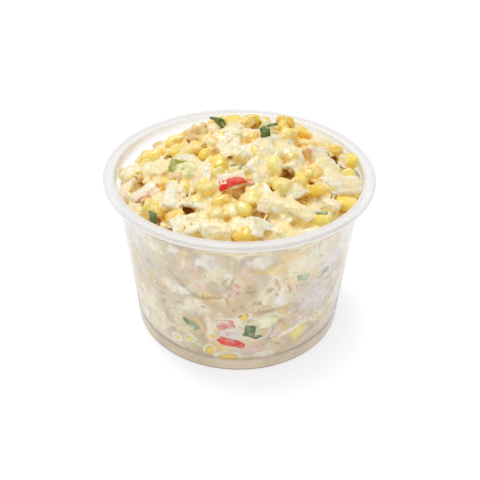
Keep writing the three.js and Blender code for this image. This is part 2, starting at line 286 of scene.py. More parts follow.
# %% [markdown]
# ## Where the pieces lie
#
# The heap is spooned higher than the rim. Its mean surface is one formula: a level at the wall
# that is lower at the back and on the left, a dome over it, and a hill on top. Two hundred pieces
# could be placed by hand, but then nothing would hold when the cup changes. A sunflower spiral
# spreads them evenly instead, and only the ones that stand out in the photo have a place of their
# own. The plain solid follows the same rule, so each piece here lies where its solid lies.

# %% Driving sizes of the heap, in millimetres
LEVEL_DROP = {"front": 4, "back": 14, "left": 8, "right": 4}
DOME_RISE = 4
HILL = {"x": 5, "y": 10, "rise": 10, "radius": 32}
TOP_PIECES = 108
TOP_SINK = 1.6
TOP_MARGIN = 2.5
SIDE_ROWS = 4
SIDE_PIECES_IN_ROW = 11
SIDE_SINK = 1.6
NOTABLE_CLEARANCE = 5.8
SIZES = {
    "kernel": (10, 8.6, 6.2),
    "egg": (10.5, 8, 5.6),
    "crab": (11, 7.2, 5.2),
    "cucumber": (8.5, 7, 5.4),
    "strip": (16, 5.4, 3),
}
STRIP_BEND = 2.4
FIRST_NUMBER = {"top": 0, "side": 500, "notable": 900, "scrap": 2000, "wall": 3000}
# kind, x, y, lift over the mean surface, turn and tilt in degrees, size, stretch, coat
NOTABLE = [
    ("kernel", -5.4, 18.4, 0, 38, 92, 1.15, 1.25, 0.0),
    ("kernel", 5, 17, 0, 20, 40, 1, 1, -0.2),
    ("kernel", 19.5, 19, 1.3, 0, 60, 1, 1, -0.3),
    ("kernel", 26.5, 13.5, 0.2, 75, 85, 0.95, 1, 0.3),
    ("kernel", 20, 6.5, -0.6, 20, 30, 0.95, 1, 0.5),
    ("kernel", 28, 4.5, -0.6, 60, 70, 1, 1, 0.6),
    ("kernel", -17, 11, -0.4, 5, -122, 1.35, 0.9, 0.2),
    ("kernel", -20, -1, -0.4, 90, 85, 1.05, 1, 0.6),
    ("kernel", 41, 12.5, 0.2, 30, 40, 1, 1, 0.4),
    ("kernel", 48, 7, 0.8, 120, 30, 0.95, 1, 0.15),
    ("kernel", -39, 10.5, 0.6, 35, 82, 1.35, 1, 0.5),
    ("kernel", -43.5, -3.5, 0, 20, -130, 0.95, 1, 0.2),
    ("kernel", -36.5, -29, 0, 70, 40, 1, 1, 0.3),
    ("kernel", -12.3, -24, -0.4, 10, 35, 1.1, 1, 0.5),
    ("kernel", -9.5, -13.5, -0.6, 80, 60, 1, 1, 0.35),
    ("kernel", -7, -32, 0, 30, 25, 1.05, 1, 0.4),
    ("kernel", 0.6, -37, -0.2, 140, 50, 1, 1, 0.45),
    ("kernel", 4, -30, 0.2, 70, 70, 0.95, 1, 0.65),
    ("kernel", 1.6, -47, -0.2, 90, 85, 0.95, 1, 0.3),
    ("kernel", 16.5, -22, -0.4, 0, 35, 1.05, 1, 0.7),
    ("kernel", 29.5, -12.5, -0.4, 130, 50, 1, 1, 0.5),
    ("kernel", 30.5, -21, 0, 20, 35, 0.95, 1, 0.0),
    ("kernel", 23.5, -18.5, -0.4, 60, 30, 0.9, 1, 0.45),
    ("kernel", 43.5, -23.5, -0.4, 85, 88, 0.95, 1.35, 0.3),
    ("kernel", 32.5, -37, 0, 0, 30, 0.9, 1, 0.15),
    ("kernel", -28, -16.2, 0.4, -5, -122, 1.1, 0.9, 0.1),
    ("egg", 12.5, -30, -0.2, -46, 6, 1, 1.5, 0.85),
    ("egg", 22.5, -34, 0, -28, -8, 1, 1.5, 0.9),
    ("egg", -20, -41, -0.6, 10, 10, 1.15, 1.2, 0.8),
    ("egg", -8.5, -44.5, -0.6, -20, -10, 1, 1.2, 0.7),
    ("egg", 8, -8, -1, 25, 5, 1.1, 1.3, 0.9),
    ("egg", 37, -4, -0.4, 40, 0, 1.05, 1.1, 0.8),
    ("egg", -35, -4, 0.2, -8, 14, 1.1, 1.4, 0.8),
    ("strip", -16.5, -31.5, 0.6, -30, -20, 0.85, 1, 0.8),
    ("strip", 27.5, -44.5, -0.2, 22, 0, 1, 1.15, 0.9),
    ("strip", 7.5, -42.5, 1, -8, 25, 0.75, 1, 0.8),
    ("strip", 5.5, 3, 0.2, -18, 10, 1.05, 1.15, 0.8),
    ("cucumber", -22.5, -14, 1, 188, -15, 1.2, 1.5, 0.25),
    ("cucumber", 12, 10.5, 0.4, 40, 40, 0.85, 1, 0.2),
    ("crab", -2.7, -22, 0, 12, 15, 0.9, 1.1, 0.6),
    ("crab", 42, -14, -0.2, 38, 10, 1.3, 1.3, 0.8),
    ("crab", 33, 1, -0.4, 40, 20, 1, 1, 0.7),
    ("crab", -38.5, -19, -0.2, 35, 15, 1.05, 1, 0.6),
    ("crab", -26, -24, -0.2, 85, 15, 1.2, 1.1, 0.55),
    ("crab", -47, -12, -0.2, 80, -15, 0.95, 1, 0.6),
]
# x, y and radius of the deepest gaps, where the pieces lie lower
HOLLOWS = [
    (-21, -33, 2.6), (12.2, -26.5, 2.6), (25.2, -28.4, 2.4), (5.2, -38.8, 2.6), (-15.1, -11, 1.8),
    (19.6, -17, 2.4), (-27.3, -41.3, 2.2), (-0.5, -27.1, 1.6),
]
HOLLOW_SINK = 2.6


def clamped(value):
    return max(0.0, min(1.0, value))


def eased(value, low, high):
    """A soft step from 0 below low to 1 above high."""
    t = clamped((value - low) / (high - low))
    return t * t * (3 - 2 * t)


def from_hollow(x, y):
    """How far a point is from the middle of the nearest deep gap, 1 being on its edge."""
    return min(math.hypot(x - at_x, y - at_y) / radius for at_x, at_y, radius in HOLLOWS)


def share(index, purpose):
    """A repeatable number from 0 to 1 for each piece and purpose."""
    wave = math.sin(index * 12.9898 + purpose * 78.233) * 43758.5453
    return wave - math.floor(wave)


def mound_height(x, y):
    """The height of the salad's mean surface over a point."""
    reach = COLLAR_RADIUS - WALL
    radius = math.hypot(x, y)
    along = x / radius if radius > 0 else 0
    away = y / radius if radius > 0 else 0
    drop = (
        LEVEL_DROP["back" if away > 0 else "front"] * away**2
        + LEVEL_DROP["right" if along > 0 else "left"] * along**2
    )
    dome = (DOME_RISE + drop) * (1 - min(radius / reach, 1) ** 2.2)
    from_hill = math.hypot(x - HILL["x"], y - HILL["y"]) / HILL["radius"]
    return CUP_HEIGHT - drop + dome + HILL["rise"] * math.exp(-(from_hill**4))


def outward_on_mound(x, y):
    return Vector((
        mound_height(x - 1, y) - mound_height(x + 1, y),
        mound_height(x, y - 1) - mound_height(x, y + 1),
        2,
    )).normalized()


# %% Lay the pieces of the top and of the side
def kind_of(index):
    draw = share(index, 4)
    if draw < 0.52:
        return "kernel"
    if draw < 0.7:
        return "egg"
    if draw < 0.8:
        return "strip"
    return "crab" if draw < 0.95 else "cucumber"


def drawn(index):
    """How an unnamed piece lies: kernels mostly on their sides, cut pieces mostly flat."""
    kind = kind_of(index)
    upright = share(index, 5) < 0.3
    lean = share(index, 6)
    kernel_tilt = 10 + 40 * lean if upright else 70 + 40 * lean
    tilt = kernel_tilt if kind == "kernel" else 50 * (lean - 0.5)
    return kind, 360 * share(index, 7), tilt, 0.86 + 0.28 * share(index, 8)


def laid(index, kind, place, outward, turn, tilt, size, stretch=1, coat=None, part="top"):
    """One piece: what it is, how thickly it is coated, and the matrix that lays it, in metres."""
    facing = Vector((0, 0, 1)).rotation_difference(outward)
    turning = Quaternion((0, 0, 1), math.radians(turn))
    tipping = Quaternion((1, 0, 0), math.radians(tilt))
    matrix = Matrix.LocRotScale(
        Vector(place) * MM, facing @ turning @ tipping, Vector((size * MM,) * 3),
    )
    return {
        "index": index, "kind": kind, "matrix": matrix, "stretch": stretch, "part": part,
        "coat": share(index, 26) if coat is None else coat,
        "reach": 0 if part == "top" else -0.6 * share(index, 18),
    }


def on_mound(index, kind, x, y, lift, turn, tilt, size, stretch=1, coat=None):
    place = (x, y, mound_height(x, y) + lift)
    return laid(index, kind, place, outward_on_mound(x, y), turn, tilt, size, stretch, coat)


def top_pieces():
    golden_angle = math.pi * (3 - math.sqrt(5))
    reach = COLLAR_RADIUS - WALL - TOP_MARGIN
    pieces = [on_mound(FIRST_NUMBER["notable"] + n, *row) for n, row in enumerate(NOTABLE)]
    for n in range(TOP_PIECES):
        index = FIRST_NUMBER["top"] + n
        radius = reach * math.sqrt((n + 0.5) / TOP_PIECES)
        x = radius * math.cos(n * golden_angle)
        y = radius * math.sin(n * golden_angle)
        if any(math.hypot(x - row[1], y - row[2]) < NOTABLE_CLEARANCE for row in NOTABLE):
            continue
        kind, turn, tilt, size = drawn(index)
        sink = TOP_SINK + 1.6 * (share(index, 9) - 0.5)
        sink += HOLLOW_SINK * (1 - eased(from_hollow(x, y), 0.8, 1.8))
        pieces.append(on_mound(index, kind, x, y, -sink, turn, tilt, size))
    return pieces


def side_pieces():
    pieces = []
    low = 11
    high = BODY_TOP_Z - 6
    for row in range(SIDE_ROWS):
        for n in range(SIDE_PIECES_IN_ROW):
            index = FIRST_NUMBER["side"] + row * SIDE_PIECES_IN_ROW + n
            wander = 0.7 * (share(index, 10) - 0.5)
            angle = (n + (row % 2) / 2 + wander) / SIDE_PIECES_IN_ROW * 2 * math.pi
            rise = (row + 0.6 * share(index, 11)) / (SIDE_ROWS - 0.4)
            z = low + (high - low) * rise
            outward = Vector((math.cos(angle), math.sin(angle), 0))
            place = outward * (wall_radius(z) - WALL - SIDE_SINK) + Vector((0, 0, z))
            kind, turn, tilt, size = drawn(index)
            pieces.append(laid(index, kind, place, outward, turn, tilt, size, part="side"))
    return pieces


laid_pieces = top_pieces() + side_pieces()
for kind in SIZES:
    print(kind, sum(piece["kind"] == kind for piece in laid_pieces))

# %% [markdown]
# ## One shape for each food
#
# Sweetcorn is a soft wedge: a round crown, flat cheeks, and a narrow root that is hollow where it
# was cut off the cob. A sphere's rings run round the kernel as its skin does, so a sphere is bent
# to that shape. What was cut with a knife starts as a cube that is divided and smoothed, so it
# keeps six faces with worn edges. Crab stick tears into flat bundles of fibres, so its shred is a
# long bar with furrows. Each food has one template, and every piece is a copy of it that is bent,
# scaled and laid by its own matrix.

# %% A helper for shapes
def times(*vectors):
    """Vectors multiplied axis by axis, because * between two of them is a dot product."""
    return Vector([math.prod(v[axis] for v in vectors) for axis in range(3)])


print("one by one:", times(Vector((1, 2, 3)), Vector((2, 2, 2))))

# %% Templates, two units across before they get their size
def kernel_template(segments, rings):
    bm = bmesh.new()
    bmesh.ops.create_uvsphere(bm, u_segments=segments, v_segments=rings, radius=1)
    for v in bm.verts:
        height = v.co.z
        around = Vector((v.co.x, v.co.y))
        if around.length > 1e-6:
            flat_cheeks = 1 - 0.11 * math.cos(4 * math.atan2(around.y, around.x))
            fullness = math.sqrt(1 - min(abs(height), 1) ** 3)
            wedge = 0.58 + 0.42 * clamped((height + 1) / 1.4)
            around = around.normalized() * fullness * wedge * flat_cheeks
        hollow_root = 0.4 * clamped((-height - 0.84) / 0.16)
        v.co = Vector((around.x, around.y, height + hollow_root))
    return bm


def bar_template(along, across, through, rounds):
    """A bar from -1 to 1 on each axis, cut along each of them, with worn edges."""
    bm = bmesh.new()
    bmesh.ops.create_cube(bm, size=2)
    for axis, cuts in enumerate((along, across, through)):
        edges = [e for e in bm.edges if abs((e.verts[0].co - e.verts[1].co)[axis]) > 1.9]
        if cuts:
            bmesh.ops.subdivide_edges(bm, edges=edges, cuts=cuts, use_grid_fill=True)
    for _ in range(rounds):
        bmesh.ops.smooth_vert(
            bm, verts=bm.verts, factor=0.5, use_axis_x=True, use_axis_y=True, use_axis_z=True,
        )
    widest = [max(v.co[axis] for v in bm.verts) for axis in range(3)]
    bmesh.ops.scale(bm, vec=[1 / w for w in widest], verts=bm.verts)
    return bm


def crumb_template():
    bm = bmesh.new()
    bmesh.ops.create_icosphere(bm, subdivisions=2, radius=1)
    return bm


def template_mesh(name, bm):
    mesh = bpy.data.meshes.new(name)
    bm.to_mesh(mesh)
    bm.free()
    return mesh


TEMPLATES = {
    "kernel": template_mesh("kernel_template", kernel_template(segments=20, rings=12)),
    "wall_kernel": template_mesh("wall_kernel_template", kernel_template(segments=12, rings=8)),
    "block": template_mesh("block_template", bar_template(5, 5, 4, rounds=3)),
    "bundle": template_mesh("bundle_template", bar_template(7, 9, 3, rounds=1)),
    "slab": template_mesh("slab_template", bar_template(7, 3, 1, rounds=1)),
    "strip": template_mesh("strip_template", bar_template(11, 7, 1, rounds=1)),
    "fibre": template_mesh("fibre_template", bar_template(5, 1, 1, rounds=1)),
    "crumb": template_mesh("crumb_template", crumb_template()),
}
for name, mesh in TEMPLATES.items():
    print(name, len(mesh.polygons), "faces")

# %% [markdown]
# ## Pressing the salad against the plastic
#
# Where the real salad touches the cup it is squashed flat. The same thing is done to every point
# here: a point that would be past the inside of the wall is brought back to it. It stops a tenth
# of a millimetre inside the plastic instead of on its face, so no sliver of air shows between.
# The pieces end a few millimetres over the floor, at an edge that wanders up and down. Only thin
# dressing has run down into the corner under them.

# %% Press points to the inside of the cup
REACH_INTO_WALL = 0.1


def lower_edge(angle):
    """How high over the table the salad leaves the wall, round the cup."""
    around = Vector((math.cos(angle), math.sin(angle), 0))
    rise = (8 if around.x > 0 else 4) * eased(abs(around.x), 0.25, 0.8)
    rise *= 1 - 0.7 * eased(around.y, -0.6, -0.1)
    lumps = 1.4 * noise.noise(around * 2.4 + Vector((5, 1, 0))) + 1.6 * noise.noise(around * 8)
    return 4.4 + rise + lumps


def pressed(place, extra=0):
    """A point in metres, brought back inside the cup."""
    x, y, z = place / MM
    radius = math.hypot(x, y)
    z = max(z, FLOOR_TOP - 0.1)
    limit = inner_radius(min(z, CUP_HEIGHT - 3)) + REACH_INTO_WALL + extra
    if z > CUP_HEIGHT:
        limit -= 0.4
    if radius > limit:
        x *= limit / radius
        y *= limit / radius
    return Vector((x, y, z)) * MM


print("lower edge", round(lower_edge(-math.pi / 2), 1), "mm high at the front")

# %% [markdown]
# ## Copying, bending and marking the pieces
#
# All the pieces of one food are gathered in one bmesh. `from_mesh` adds a copy of the template,
# and the new points are then moved. Each piece carries three numbers for its material: `tone`, a
# random number that sets how ripe, yellow or red it is, `skin`, which is 1 where the piece has
# its skin or root, and `coat`, how thickly the dressing covers it. They are point attributes, so
# they stay with the surface wherever the piece lies.

# %% Gather pieces in one mesh
MARKS = ("tone", "skin", "coat")
COAT_OF = {"kernel": 0.72}  # smooth skins hold less of it


def corner_pull(index, place):
    """The knife never cuts square: how far each corner is drawn in, blended in between."""
    pull = Vector((0, 0, 0))
    for corner in range(8):
        side = [1 if corner >> axis & 1 else -1 for axis in range(3)]
        weight = math.prod(1 + side[axis] * place[axis] for axis in range(3)) / 8
        number = index * 8 + corner
        pull += weight * Vector([0.74 + 0.32 * share(number, axis) for axis in (1, 2, 3)])
    return pull


def roughened(place, seed, amount, fineness=0.45):
    """A point moved by smooth noise, with so many bumps to the millimetre."""
    return place + amount * noise.noise_vector(place * fineness + Vector((seed * 3.7, seed, 0)))


def no_skin(place):
    return 0


def add_copy(bm, piece, template, shape, tone, skin=no_skin):
    """Adds one template, moves each point by shape(point), and marks it."""
    first = len(bm.verts)
    bm.from_mesh(TEMPLATES[template])
    bm.verts.ensure_lookup_table()
    tone_mark, skin_mark, coat_mark = [bm.verts.layers.float[name] for name in MARKS]
    for v in bm.verts[first:]:
        v[tone_mark] = tone
        v[skin_mark] = skin(v.co)
        v[coat_mark] = piece["coat"] * COAT_OF.get(piece["kind"], 1)
        v.co = pressed(piece["matrix"] @ shape(v.co), piece["reach"])


def add_kernel(bm, piece):
    long, wide, thick = SIZES["kernel"]
    half = Vector((wide / 2, thick / 2, long / 2 * piece["stretch"]))
    index = piece["index"]

    def shape(co):
        return roughened(times(co, half), index, 0.8, fineness=0.3)

    def root(co):
        return clamped((-co.z - 0.72) / 0.2)

    template = "kernel" if piece["part"] == "top" else "wall_kernel"
    add_copy(bm, piece, template, shape, share(index, 20), root)


def add_root(bm, piece):
    """The brown end of a kernel that was pulled off the cob: a low, ridged ring with a dimple."""
    long, wide, thick = SIZES["root"]
    half = Vector((wide / 2, thick / 2, long / 2))
    index = piece["index"]

    def shape(co):
        radius = math.hypot(co.x, co.y)
        ridge = 1 + 0.12 * math.cos(7 * math.atan2(co.y, co.x) + index)
        front = -0.5 * math.sin(math.pi * min(radius * ridge, 1)) if co.z < 0 else co.z
        local = Vector((co.x * ridge * half.x, co.y * ridge * half.y, front * half.z))
        return roughened(local, index, 0.7, fineness=0.5)

    add_copy(bm, piece, "kernel", shape, share(index, 20), lambda co: 1)


def add_block(bm, piece, skin=no_skin):
    long, wide, thick = SIZES[piece["kind"]]
    half = Vector((long / 2 * piece["stretch"], wide / 2, thick / 2))
    index = piece["index"]

    def shape(co):
        bent = roughened(times(co, corner_pull(index, co), half), index, 1.6, fineness=0.2)
        return roughened(bent, index, 0.4)

    add_copy(bm, piece, "block", shape, share(index, 20), skin)


def add_cucumber(bm, piece):
    add_block(bm, piece, skin=lambda co: clamped((co.x - 0.2) / 0.15))


# %% Fibrous crab stick, its shreds, and skins
def add_crab(bm, piece):
    """A bundle of fibres with torn ends, furrows along it and, on some, the red skin."""
    long, wide, thick = SIZES["crab"]
    half = Vector((long / 2 * piece["stretch"], wide / 2, thick / 2))
    index = piece["index"]
    red = 1.0 if piece["part"] != "top" and share(index, 27) < 0.3 else 0.0
    fan = 0.35 * (share(index, 25) - 0.5)

    def shape(co):
        fibre = noise.noise(Vector((co.y * 2.4, co.z * 2, index)))
        furrow = 0.07 * math.cos(co.y * 9 + 3 * share(index, 21))
        local = times(co, half, (1 + 0.25 * fibre, 1, 1 - 0.25 * abs(co.y) + furrow))
        local.y += fan * local.x
        local.z += 0.5 * math.sin(local.x * 0.4 + index)
        return roughened(local, index, 0.8, fineness=0.3)

    add_copy(bm, piece, "bundle", shape, share(index, 20), lambda co: red * (co.z > 0.6))


def add_strip(bm, piece):
    """A shred, bent over what it lies on, with furrows between its fibres."""
    long, wide, thick = SIZES["strip"]
    index = piece["index"]
    half = Vector((long / 2 * piece["stretch"], wide / 2, thick / 2))
    furrow = 0.22 * (share(index, 28) > 0.35)
    sway = 1.6 * (share(index, 29) - 0.5)

    def shape(co):
        narrowing = 1 - 0.3 * co.x**2
        thinness = narrowing * (1 - furrow * (1 + math.cos(co.y * 9)))
        local = times(co, half, (1, narrowing, thinness))
        local.z -= STRIP_BEND * co.x**2
        local.y += sway * math.sin(co.x * 2)
        return roughened(local, index, 0.5)

    add_copy(bm, piece, "strip", shape, share(index, 20))


def add_skin(bm, piece):
    """A thin, slightly curled flake: chopped leaf, cucumber skin or the red of a crab stick."""
    long, wide, thick = SIZES[piece["kind"]]
    half = Vector((long / 2 * piece["stretch"], wide / 2, thick / 2))
    index = piece["index"]

    def shape(co):
        ragged = 1 + 0.35 * noise.noise(Vector((co.x, co.y, index * 0.7)) * 1.3)
        narrow = 0.3 if piece["part"] == "top" else 0.1
        taper = 1 - narrow * abs(co.x) ** 3 - 0.25 * co.x * (share(index, 30) - 0.3)
        local = times(co, half, (ragged, ragged * taper, 1))
        if piece["part"] == "top":
            local.z -= 0.3 * half.y * co.y**2 + 0.1 * half.x * co.x**2
        return roughened(local, index, 0.4)

    add_copy(bm, piece, "slab", shape, share(index, 20), lambda co: clamped(co.z + 0.3))


def add_fibre(bm, piece):
    long, wide, thick = SIZES["fibre"]
    half = Vector((long / 2 * piece["stretch"], wide / 2, thick / 2))
    index = piece["index"]
    bend = 1.2 + 1.2 * share(index, 31)
    sway = 3 * (share(index, 32) - 0.5)

    def shape(co):
        local = times(co, half, (1, 1 - 0.5 * abs(co.x), 1 - 0.5 * abs(co.x)))
        local.z -= bend * co.x**2
        local.y += sway * math.sin(co.x * 2.2)
        return roughened(local, index, 0.5)

    add_copy(bm, piece, "fibre", shape, share(index, 20))


def add_crumb(bm, piece):
    half = Vector([SIZES["crumb"][axis] / 2 for axis in range(3)])
    index = piece["index"]

    def shape(co):
        return roughened(times(co, half), index, 0.7)

    add_copy(bm, piece, "crumb", shape, share(index, 20))


SIZES.update({
    "herb": (3.4, 2.4, 0.4),
    "rind": (3.4, 2.4, 0.4),
    "red": (10, 3.6, 1),
    "fibre": (8, 1.3, 0.9),
    "crumb": (1.8, 1.5, 1.2),
    "root": (6, 8.4, 7),
})
ADDERS = {
    "kernel": add_kernel, "root": add_root, "egg": add_block, "crab": add_crab,
    "cucumber": add_cucumber, "rind": add_skin, "strip": add_strip, "herb": add_skin,
    "red": add_skin, "fibre": add_fibre, "crumb": add_crumb,
}


def gathered(kinds, pieces):
    bm = bmesh.new()
    for mark in MARKS:
        bm.verts.layers.float.new(mark)
    for piece in pieces:
        if piece["kind"] in kinds:
            ADDERS[piece["kind"]](bm, piece)
    bmesh.ops.recalc_face_normals(bm, faces=bm.faces)
    return bm


print("ways to add a piece:", ", ".join(ADDERS))

# %% [markdown]
# ## More pieces than the solids show
#
# The solid holds only the pieces that shape the outline. The real heap also has scraps, shreds,
# crumbs of egg and chopped leaf between them, and a full layer pressed to the plastic all round.
# They are laid by the same rule, close to the mean surface, so that the outline doesn't change.
# Those that catch the eye have a place of their own.

# %% Scraps, shreds and crumbs between the top pieces
SCATTERED = {
    # kind: how many, smallest and largest size, lowest and highest lift, coat at most
    "kernel": (46, 0.7, 0.92, -2.2, -0.4, 0.9),
    "egg": (40, 0.5, 0.95, -1.8, 0.2, 1.0),
    "crab": (24, 0.5, 0.8, -1.6, 0.2, 1.0),
    "cucumber": (4, 0.4, 0.6, -0.8, 0.6, 0.8),
    "strip": (44, 0.45, 0.85, -1.0, 0.8, 1.0),
    "fibre": (60, 0.7, 1.3, -1.4, 0.3, 1.0),
    "crumb": (190, 0.6, 1.6, -1.8, 0.8, 0.9),
    "herb": (12, 0.25, 0.6, -0.4, 1.4, 0.7),
    "red": (12, 0.15, 0.35, -0.4, 1.2, 0.2),
}
# kind, x, y, lift, turn, tilt, size, stretch, coat
DETAILS = [
    ("red", -3.2, -24.6, 2.7, 14, 8, 1.05, 1.05, -0.5),
    ("red", 4.4, -24.4, 2.2, -20, 0, 0.42, 0.9, 0.2),
    ("red", -40, -22.5, 3.0, 24, 10, 0.8, 0.8, 0.62),
    ("red", -38, -24.5, 2.6, 15, 0, 0.5, 0.9, 0.5),
    ("root", -18.2, 7.2, 2.2, 10, -122, 1.25, 1, 0.1),
    ("root", -26, -17.8, 2.9, -10, -120, 0.85, 1, -0.1),
    ("root", -43.5, -7.2, 1.8, -30, -125, 0.62, 1, 0.0),
    ("root", -14.4, -2.6, 1.2, 0, -120, 0.4, 1, 0.0),
    ("red", 44.2, -0.4, 2.6, -30, 0, 0.55, 0.8, 0.8),
    ("red", 30.1, -1.9, 2.6, 50, 0, 0.4, 0.8, 0.6),
    ("red", 0.2, 5, 2.4, 60, 0, 0.25, 0.9, 0.5),
    ("herb", -9.8, 12.6, 3.8, 32, 14, 4.2, 0.075, -0.3),
    ("herb", -8.8, 11.4, 3.6, 38, 14, 3, 0.08, 0.1),
    ("rind", -26.4, -10, 3.3, 78, 36, 2.8, 0.8, -0.1),
    ("herb", 10.6, 0.5, 3.4, 10, 50, 1.9, 0.6, 0.2),
    ("herb", 13.6, 5.5, 4.4, 35, 10, 0.7, 2.4, -0.2),
    ("herb", -33.5, -37, 2.2, 0, 70, 2.1, 0.33, -0.3),
    ("herb", 32.5, -35.5, 3, 10, 10, 0.9, 1.5, 0.5),
    ("herb", 37, -33.6, 2.6, 140, 40, 0.5, 1.2, 0),
    ("herb", -2.4, -17.8, 2.8, 10, 0, 0.5, 1.5, 0.3),
    ("herb", 0.6, -18.6, 2.9, 60, 0, 0.6, 1.5, 0.3),
    ("herb", 51, -9, 1.6, 130, 20, 0.4, 2, 0.1),
    ("kernel", -9, -38, 0.4, 20, 40, 0.9, 1, 0.75),
    ("kernel", -3.8, -36.4, 0.4, 70, 80, 0.95, 1, 0.85),
    ("egg", -6.6, -34.6, 0.8, 30, 10, 0.6, 1.2, 0.9),
]


LEAN = {"fibre": 24, "strip": 50}  # long thin pieces lie flat


def scattered():
    golden_angle = math.pi * (3 - math.sqrt(5))
    reach = COLLAR_RADIUS - WALL - 2.2
    pieces = []
    first = FIRST_NUMBER["scrap"]
    for turn_start, (kind, row) in enumerate(SCATTERED.items()):
        count, smallest, largest, lowest, highest, coat = row
        for n in range(count):
            index = first + n
            radius = reach * math.sqrt((n + 0.5) / count) * (0.94 + 0.06 * share(index, 16))
            angle = n * golden_angle + 1.7 * turn_start + 0.8 * share(index, 17)
            x, y = radius * math.cos(angle), radius * math.sin(angle)
            lift = lowest + (highest - lowest) * share(index, 13)
            turn = 360 * share(index, 7)
            tilt = LEAN.get(kind, 70) * (share(index, 6) - 0.5)
            size = smallest + (largest - smallest) * share(index, 12)
            row = (x, y, lift, turn, tilt, size, 1, coat * share(index, 26))
            if from_hollow(x, y) > 1.6:
                pieces.append(on_mound(index, kind, *row))
        first += count
    return pieces


# %% A full layer at the wall
WALL_ROWS = 9
WALL_PIECES_IN_ROW = 27
# kind, x, z, turn and tilt in degrees, size, stretch, coat, reach into the wall
AT_THE_WALL = [
    ("red", -2.6, 16.8, -20, 0, 1.25, 0.95, -0.5, 0.12),
    ("red", -5.4, 28.8, 0, 0, 0.8, 0.9, 0.62, 0.08),
    ("red", -6, 26.2, 24, 0, 0.7, 0.7, 0.55, 0.08),
    ("red", -2.2, 27, -30, 0, 0.4, 0.9, 0.6, 0.08),
    ("herb", 5.2, 24, 80, 0, 2.0, 1, 0.3, 0.06),
    ("herb", 8.6, 20, 40, 0, 0.8, 1.4, 0.4, 0.06),
    ("herb", -19.8, 24.4, 118, 0, 1.5, 1.6, 0.6, 0.05),
    ("herb", 25.9, 49, 20, 0, 1.3, 1.3, 0.7, 0.04),
    ("herb", 36, 47, 30, 0, 1.1, 1.2, 0.75, 0.04),
    ("red", 15.4, 20.7, 80, 0, 0.6, 0.9, 0.85, 0.03),
    ("red", 25.5, 25.7, 20, 0, 0.6, 0.9, 0.75, 0.03),
    ("red", -1.4, 48, 62, 0, 0.85, 0.8, 0.66, 0.08),
    ("red", -3.4, 46, 50, 0, 0.7, 0.9, 0.7, 0.08),
    ("red", -34, 38, 110, 0, 0.6, 0.8, 0.85, 0.03),
    ("cucumber", 12.7, 28.5, 30, 0, 0.9, 1.2, 0.7, 0.02),
    ("crumb", 11.8, 6.4, 0, 0, 4.4, 1, 1, 0.08),
    ("kernel", 26.5, 17.4, 0, 95, 0.95, 1, 0.45, 0.03),
    ("kernel", -11.7, 10.4, 60, 8, 0.6, 1, 0.1, 0.08),
    ("kernel", -3.8, 6.6, 0, 8, 1.05, 1, 0.5, 0.08),
    ("kernel", -20.4, 14.7, 20, 10, 0.42, 1, 0.0, 0.12),
    ("kernel", -26.3, 12.2, 70, 5, 0.4, 1, 0.2, 0.12),
    ("kernel", -10.7, 19.6, 20, 10, 0.36, 1, 0.0, 0.12),
    ("kernel", 2.7, 32.6, 70, 0, 0.5, 1, 0.2, 0.12),
    ("kernel", 34, 21, 60, 0, 0.5, 1, 0.0, 0.12),
]


def wall_layer():
    pieces = []
    for row in range(WALL_ROWS):
        for n in range(WALL_PIECES_IN_ROW):
            index = FIRST_NUMBER["wall"] + row * WALL_PIECES_IN_ROW + n
            if share(index, 14) < 0.25:
                continue
            wander = 0.8 * (share(index, 10) - 0.5)
            angle = (n + (row % 2) / 2 + wander) / WALL_PIECES_IN_ROW * 2 * math.pi
            z = 7 + (BODY_TOP_Z - 9) * (row + 0.6 * share(index, 11)) / (WALL_ROWS - 0.4)
            outward = Vector((math.cos(angle), math.sin(angle), 0))
            kind, turn, tilt, size = drawn(index)
            inset = 1.6 + 1.8 * share(index, 15)
            place = outward * (wall_radius(z) - WALL - inset) + Vector((0, 0, z))
            pieces.append(laid(index, kind, place, outward, turn, tilt, size * 0.8, part="wall"))
    return pieces


def at_the_wall():
    pieces = []
    for n, (kind, x, z, turn, tilt, size, stretch, coat, reach) in enumerate(AT_THE_WALL):
        radius = inner_radius(z)
        outward = Vector((x, -math.sqrt(radius**2 - x**2), 0)).normalized()
        depth = SIZES[kind][2] * size * 0.3 - 0.4
        place = outward * (radius - depth) + Vector((0, 0, z))
        row = (turn, tilt, size, stretch, coat, "wall")
        piece = laid(FIRST_NUMBER["wall"] + 500 + n, kind, place, outward, *row)
        piece["reach"] = reach
        pieces.append(piece)
    return pieces


def detail_pieces():
    return [on_mound(FIRST_NUMBER["notable"] + 50 + n, *row) for n, row in enumerate(DETAILS)]


every_piece = laid_pieces + detail_pieces() + scattered() + wall_layer() + at_the_wall()
print(len(laid_pieces), "pieces shape the outline,", len(every_piece), "in all")

# %% [markdown]
# ## One mesh for each food
#
# Hundreds of loose objects would be slow to handle and to export. All the kernels are one mesh,
# and so is each of the other foods, so each food also needs only one material.

# %% Make one mesh for each food
FOODS = {
    # piece: the kinds in it, and the record's material slot
    "sweetcorn": (("kernel", "root"), "sweetcorn"),
    "egg_dice": (("egg",), "egg"),
    "egg_crumbs": (("crumb",), "egg"),
    "crab_stick": (("crab", "red"), "crab_stick"),
    "crab_shreds": (("strip", "fibre"), "crab_stick"),
    "cucumber_dice": (("cucumber", "rind"), "cucumber"),
    "herb_bits": (("herb",), "herb"),
}
foods = {name: linked(name, gathered(kinds, every_piece)) for name, (kinds, slot) in FOODS.items()}

